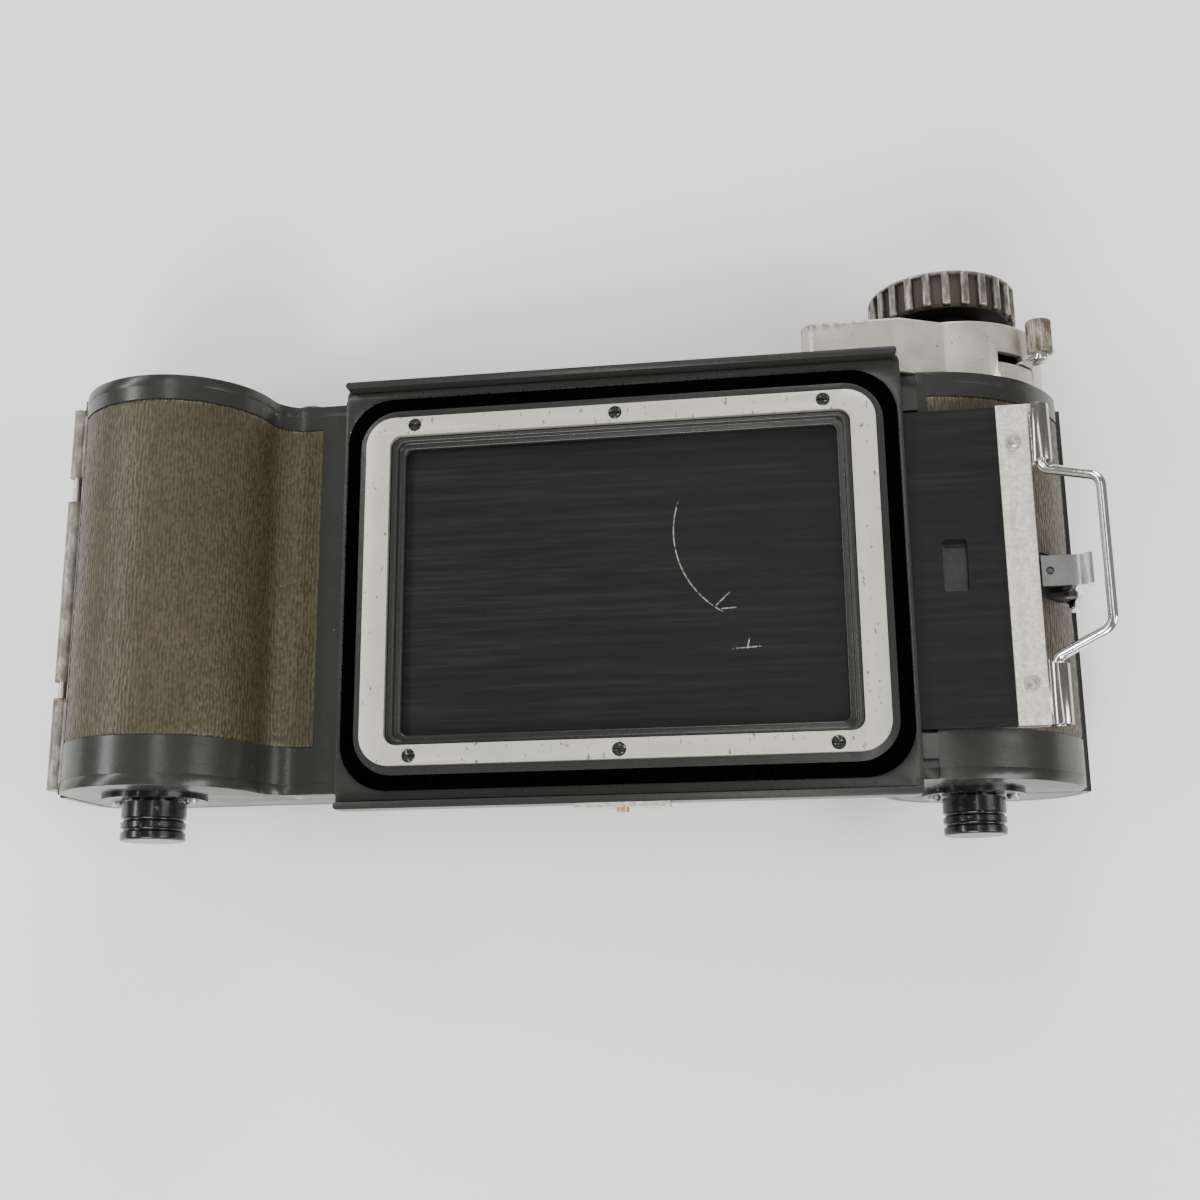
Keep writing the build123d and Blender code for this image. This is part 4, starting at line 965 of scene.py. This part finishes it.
class HOLDER_OT_leatherette(bpy.types.Operator):
    """Model the creased covering on both drums and finish the cover's"""

    bl_idname = "holder.leatherette"
    bl_label = "Leatherette"
    bl_options = {"REGISTER", "UNDO"}

    def execute(self, context):
        for node, centre, first, last in SKINS:
            middle = Vector((centre[0], 0, centre[1]))
            path, facings, low_y, high_y, rows = skin_layout(
                node, middle, math.radians(first), math.radians(last))
            holes = self.openings() if node == "takeup_leatherette" else ()
            skin = build_skin(path, facings, low_y, high_y, rows, node + "_grained", holes)
            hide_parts(node)
            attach(skin, BODY)
        paint("cover_leatherette", "flat_leatherette")
        return {"FINISHED"}

    def openings(self):
        """Where the slide's interlock and the latch come through the take-up skin."""
        skin_low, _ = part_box("takeup_leatherette")
        latch_low, latch_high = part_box("latch_pin")
        well = (Vector((skin_low.x - 0.01, -WELL_HALF, 0)),
                Vector((skin_low.x + WELL_REACH, WELL_HALF, 0)))
        latch = (Vector((LATCH_SLOT[0], latch_low.y - LATCH_ROOM, 0)),
                 Vector((LATCH_SLOT[1], latch_high.y + LATCH_ROOM, 0)))
        return well, latch


class HOLDER_OT_slide(bpy.types.Operator):
    """Finish the dark slide, its handle, rivets and bail"""

    bl_idname = "holder.slide"
    bl_label = "Dark slide"
    bl_options = {"REGISTER", "UNDO"}

    def execute(self, context):
        paint("dark_slide", "slide")
        soften("slide_handle", sizes().fine_round, "handle", "dark_slide")
        paint("slide_bail", "chrome")
        self.rivets()
        return {"FINISHED"}

    def rivets(self):
        """Two rivets with dished heads."""
        low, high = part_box("slide_rivets")
        radius = (high.x - low.x) / 2
        middle_x = (low.x + high.x) / 2
        strip_thick = 0.9 * MILLIMETRE
        foot_round = 0.1 * MILLIMETRE
        foot_thick = 0.4 * MILLIMETRE
        strip_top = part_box("dark_slide")[1].z + strip_thick
        dish = [(0, 0.28), (0.35, 0.31), (0.62, 0.42), (0.78, 0.50), (0.92, 0.46), (1.0, 0.30)]
        shank = 0.5 * radius
        profile = [(0, low.z), (0.9 * radius, low.z), (radius, low.z + foot_round),
                   (radius, low.z + foot_thick), (shank, low.z + foot_thick), (shank, strip_top),
                   (radius, strip_top)]
        profile += [(share * radius, strip_top + rise * MILLIMETRE) for share, rise in reversed(dish)]
        shape = bmesh.new()
        for y in (low.y + radius, high.y - radius):
            one = lathe(profile, 40)
            bmesh.ops.transform(one, matrix=Matrix.Translation((middle_x, y, 0)), verts=one.verts)
            shape.from_mesh(mesh_of(one, "rivet"))
        mesh = mesh_of(shape, "slide_rivets_dished")
        made = piece_from(mesh, "slide_rivets_dished", "steel")
        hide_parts("slide_rivets")
        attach(made, "dark_slide")


class HOLDER_OT_knob(bpy.types.Operator):
    """Build the ribbed winding knob"""

    bl_idname = "holder.knob"
    bl_label = "Winding knob"
    bl_options = {"REGISTER", "UNDO"}

    def execute(self, context):
        size = sizes()
        low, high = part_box("winding_knob")
        axis = spindle()
        radius = knob_radius()
        top = high.y
        neck_base = low.y
        neck_length = 5.6 * MILLIMETRE
        screw_room = 0.6 * MILLIMETRE
        rib_stand = 0.12 * MILLIMETRE
        rib_inset = 0.4 * MILLIMETRE
        rib_round = 0.45 * MILLIMETRE
        body_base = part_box("winder_housing")[1].y + neck_length
        core = radius - size.rib_depth
        ease = 0.7 * MILLIMETRE
        recess = 1.2 * MILLIMETRE
        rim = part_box("knob_screw")[1].x - axis.x + screw_room
        neck = 8.5 * MILLIMETRE
        hole = 2.5 * MILLIMETRE
        lip = radius - rib_stand
        profile = [(hole, neck_base), (neck, neck_base), (neck, body_base), (core - ease, body_base),
                   (core, body_base + ease), (core, top - 1.3 * ease), (lip, top - ease),
                   (lip, top - 0.5 * ease), (lip - 0.5 * ease, top), (rim + 0.3 * ease, top),
                   (rim, top - 0.3 * ease), (rim, top - recess), (hole, top - recess), (hole, neck_base)]
        bar_wide = 0.86 * math.pi * radius / size.knob_ribs
        bar_deep = 2 * size.rib_depth
        bar_tall = top - body_base - rib_inset
        bar = mesh_item(rib_bar(bar_wide, bar_deep, bar_tall, rib_round), "rib")
        ribs = run_tree(rib_tree(), bar, {"Count": size.knob_ribs, "Radius": radius - bar_deep / 2,
                                          "Material": finish_called("knob")})
        shape = lathe(profile, 96)
        ribs.transform(Matrix.Translation((0, 0, (top + body_base) / 2)))
        shape.from_mesh(ribs)
        place = Matrix.Translation((axis.x, 0, axis.z)) @ Matrix.Rotation(math.radians(-90), 4, "X")
        bmesh.ops.transform(shape, matrix=place, verts=shape.verts)
        bmesh.ops.remove_doubles(shape, verts=shape.verts, dist=WELD)
        made = piece_from(mesh_of(shape, "winding_knob_ribbed"), "winding_knob_ribbed", "knob")
        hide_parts("winding_knob")
        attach(made, "winder")
        return {"FINISHED"}


class HOLDER_OT_winder(bpy.types.Operator):
    """Finish the winder's housing, lever, gears and spool"""

    bl_idname = "holder.winder"
    bl_label = "Winder"
    bl_options = {"REGISTER", "UNDO"}

    def execute(self, context):
        smoothed("winder_housing", "housing")
        for node, look in (("housing_screws", "steel"), ("index_dots", "chrome"),
                           ("winder_bushing", "brass"), ("winder_posts", "steel"), ("drive_shaft", "steel"),
                           ("drive_pinion", "brass"), ("ratchet_wheel", "steel"), ("pawl", "steel"),
                           ("counter_idler", "brass"), ("counter_gear", "brass"), ("counter_dial", "dial"),
                           ("counter_window", "window"), ("lever_post", "post"), ("knob_screw", "steel"),
                           ("takeup_spool", "spool")):
            paint(node, look)
        soften("release_lever", sizes().fine_round, "chrome", "release_lever")
        return {"FINISHED"}


class HOLDER_OT_numbers(bpy.types.Operator):
    """Print plain frame numbers on the counter's dial"""

    bl_idname = "holder.numbers"
    bl_label = "Frame numbers"
    bl_options = {"REGISTER", "UNDO"}

    def execute(self, context):
        low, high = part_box("counter_dial")
        centre = (low + high) / 2
        ring = (high.x - low.x) / 2 - 0.9 * sizes().number_size
        shape = bmesh.new()
        frames = 8
        ink = 0.02 * MILLIMETRE
        for number in range(1, frames + 1):
            words = bpy.data.curves.new("number", "FONT")
            words.body = str(number)
            words.size = sizes().number_size
            words.align_x = "CENTER"
            words.align_y = "CENTER"
            words.extrude = ink
            item = linked("number", words)
            mesh = settled(item)
            bpy.data.objects.remove(item)
            turn = 2 * math.pi * (number - 1) / frames
            mesh.transform(Matrix.Translation((centre.x, high.y + ink, centre.z))
                           @ Matrix.Rotation(math.radians(-90), 4, "X") @ Matrix.Rotation(turn, 4, "Z")
                           @ Matrix.Translation((0, ring, 0)))
            shape.from_mesh(mesh)
        numbers = piece_from(mesh_of(shape, "counter_numbers"), "counter_numbers", "black_screw")
        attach(numbers, "counter")
        return {"FINISHED"}


class HOLDER_OT_hardware(bpy.types.Operator):
    """Finish the pull knobs, hinge, latch, rollers and pressure plate"""

    bl_idname = "holder.hardware"
    bl_label = "Hardware"
    bl_options = {"REGISTER", "UNDO"}

    def execute(self, context):
        for node, look in (("supply_escutcheon", "gloss_black"), ("takeup_escutcheon", "gloss_black"),
                           ("escutcheon_screws", "steel"), ("supply_knob", "gloss_black"),
                           ("takeup_knob", "gloss_black"), ("knob_springs", "steel"), ("supply_stud", "steel"),
                           ("supply_roller", "chrome"), ("takeup_roller", "chrome"), ("roller_pins", "steel"),
                           ("roller_cap", "casting"), ("hinge_body_leaf", "hinge_strip"),
                           ("hinge_cover_leaf", "hinge_strip"), ("hinge_pin", "steel"), ("latch_pin", "steel"),
                           ("pressure_plate", "gloss_black"), ("pressure_springs", "steel"),
                           ("latch_lever", "chrome")):
            paint(node, look)
        return {"FINISHED"}


# ---- Studio ----

CAMERA_PLACE = (0.03999, -0.07776, 0.29146)
CAMERA_TURN = (0.2455, 0.1435, -0.0458)
CAMERA_SENSOR = 36.0
FLOOR_REACH = 3.0
FLOOR_GAP = 0.0001
LIGHTS = (
    ("key", (-0.12, -0.85, 0.72), (0.55, 0.45), "key_power"),
    ("left_strip", (-0.68, 0.10, 0.60), (0.90, 0.10), "strip_power"),
    ("top_strip", (0.14, 0.10, 0.95), (0.90, 0.07), "top_power"),
    ("fill", (0.85, -0.20, 0.50), (0.45, 0.45), "fill_power"),
    ("back", (0.10, 1.05, 0.60), (0.50, 0.50), "back_power"),
)


def resting_line():
    """The two places in X and Z where the holder touches what it lies on."""
    spots = sorted({(round(v.co.x, 5), round(v.co.z, 5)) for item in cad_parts.values()
                    for v in item.data.vertices})
    hull = []
    for spot in spots:
        while len(hull) > 1:
            (ax, az), (bx, bz) = hull[-2], hull[-1]
            if (bx - ax) * (spot[1] - az) - (bz - az) * (spot[0] - ax) > 0:
                break
            hull.pop()
        hull.append(spot)
    return next((a, b) for a, b in zip(hull, hull[1:]) if a[0] <= 0 <= b[0])


class HOLDER_OT_stage(bpy.types.Operator):
    """Set up the floor, the lights and the camera"""

    bl_idname = "holder.stage"
    bl_label = "Stage"
    bl_options = {"REGISTER", "UNDO"}

    def execute(self, context):
        self.floor()
        self.lights()
        self.camera()
        return {"FINISHED"}

    def floor(self):
        (ax, az), (bx, bz) = resting_line()
        tilt = math.atan2(az - bz, bx - ax)
        place = Matrix.Translation((ax, 0, az - FLOOR_GAP)) @ Matrix.Rotation(tilt, 4, "Y")
        shape = bmesh.new()
        bmesh.ops.create_grid(shape, x_segments=8, y_segments=8, size=FLOOR_REACH, matrix=place)
        floor = mesh_item(shape, "floor")
        floor.data.materials.append(finish_called("floor"))

    def lights(self):
        studio = bpy.context.scene.holder_studio
        for name, place, (wide, tall), power in LIGHTS:
            lamp = bpy.data.lights.new(name, "AREA")
            lamp.shape = "RECTANGLE"
            lamp.size = wide
            lamp.size_y = tall
            lamp.energy = getattr(studio, power)
            item = linked(name, lamp)
            item.location = place
            item.rotation_euler = Vector(place).to_track_quat("Z", "Y").to_euler()
        world = bpy.data.worlds.new("studio")
        world.use_nodes = True
        world.node_tree.nodes["Background"].inputs["Color"].default_value = (1, 1, 1, 1)
        world.node_tree.nodes["Background"].inputs["Strength"].default_value = studio.sky
        bpy.context.scene.world = world

    def camera(self):
        data = bpy.data.cameras.new("camera")
        data.lens = bpy.context.scene.holder_studio.focal
        data.sensor_width = CAMERA_SENSOR
        data.clip_start = 0.01
        item = linked("camera", data)
        item.location = CAMERA_PLACE
        item.rotation_mode = "ZYX"
        item.rotation_euler = Euler(CAMERA_TURN, "ZYX")
        bpy.context.scene.camera = item


OPERATORS = (HOLDER_OT_castings, HOLDER_OT_ring, HOLDER_OT_velvet, HOLDER_OT_leatherette, HOLDER_OT_slide,
             HOLDER_OT_knob, HOLDER_OT_winder, HOLDER_OT_numbers, HOLDER_OT_hardware, HOLDER_OT_stage)


class HOLDER_PT_panel(bpy.types.Panel):
    """Lists the holder's pieces and settings"""

    bl_idname = "HOLDER_PT_panel"
    bl_label = "Roll film holder"
    bl_space_type = "VIEW_3D"
    bl_region_type = "UI"
    bl_category = "Holder"

    def draw(self, context):
        for operator in OPERATORS:
            self.layout.operator(operator.bl_idname)
        for group in (context.scene.holder_sizes, context.scene.holder_colours, context.scene.holder_studio):
            box = self.layout.box()
            for name in group.__annotations__:
                box.prop(group, name)


CLASSES = (HolderSizes, HolderColours, HolderStudio, *OPERATORS, HOLDER_PT_panel)


def register():
    for item in CLASSES:
        bpy.utils.register_class(item)
    bpy.types.Scene.holder_sizes = PointerProperty(type=HolderSizes)
    bpy.types.Scene.holder_colours = PointerProperty(type=HolderColours)
    bpy.types.Scene.holder_studio = PointerProperty(type=HolderStudio)


def unregister():
    del bpy.types.Scene.holder_studio
    del bpy.types.Scene.holder_colours
    del bpy.types.Scene.holder_sizes
    for item in reversed(CLASSES):
        bpy.utils.unregister_class(item)


def main():
    register()
    for operator in OPERATORS:
        group, name = operator.bl_idname.split(".")
        getattr(getattr(bpy.ops, group), name)()


if __name__ == "__main__":
    main()
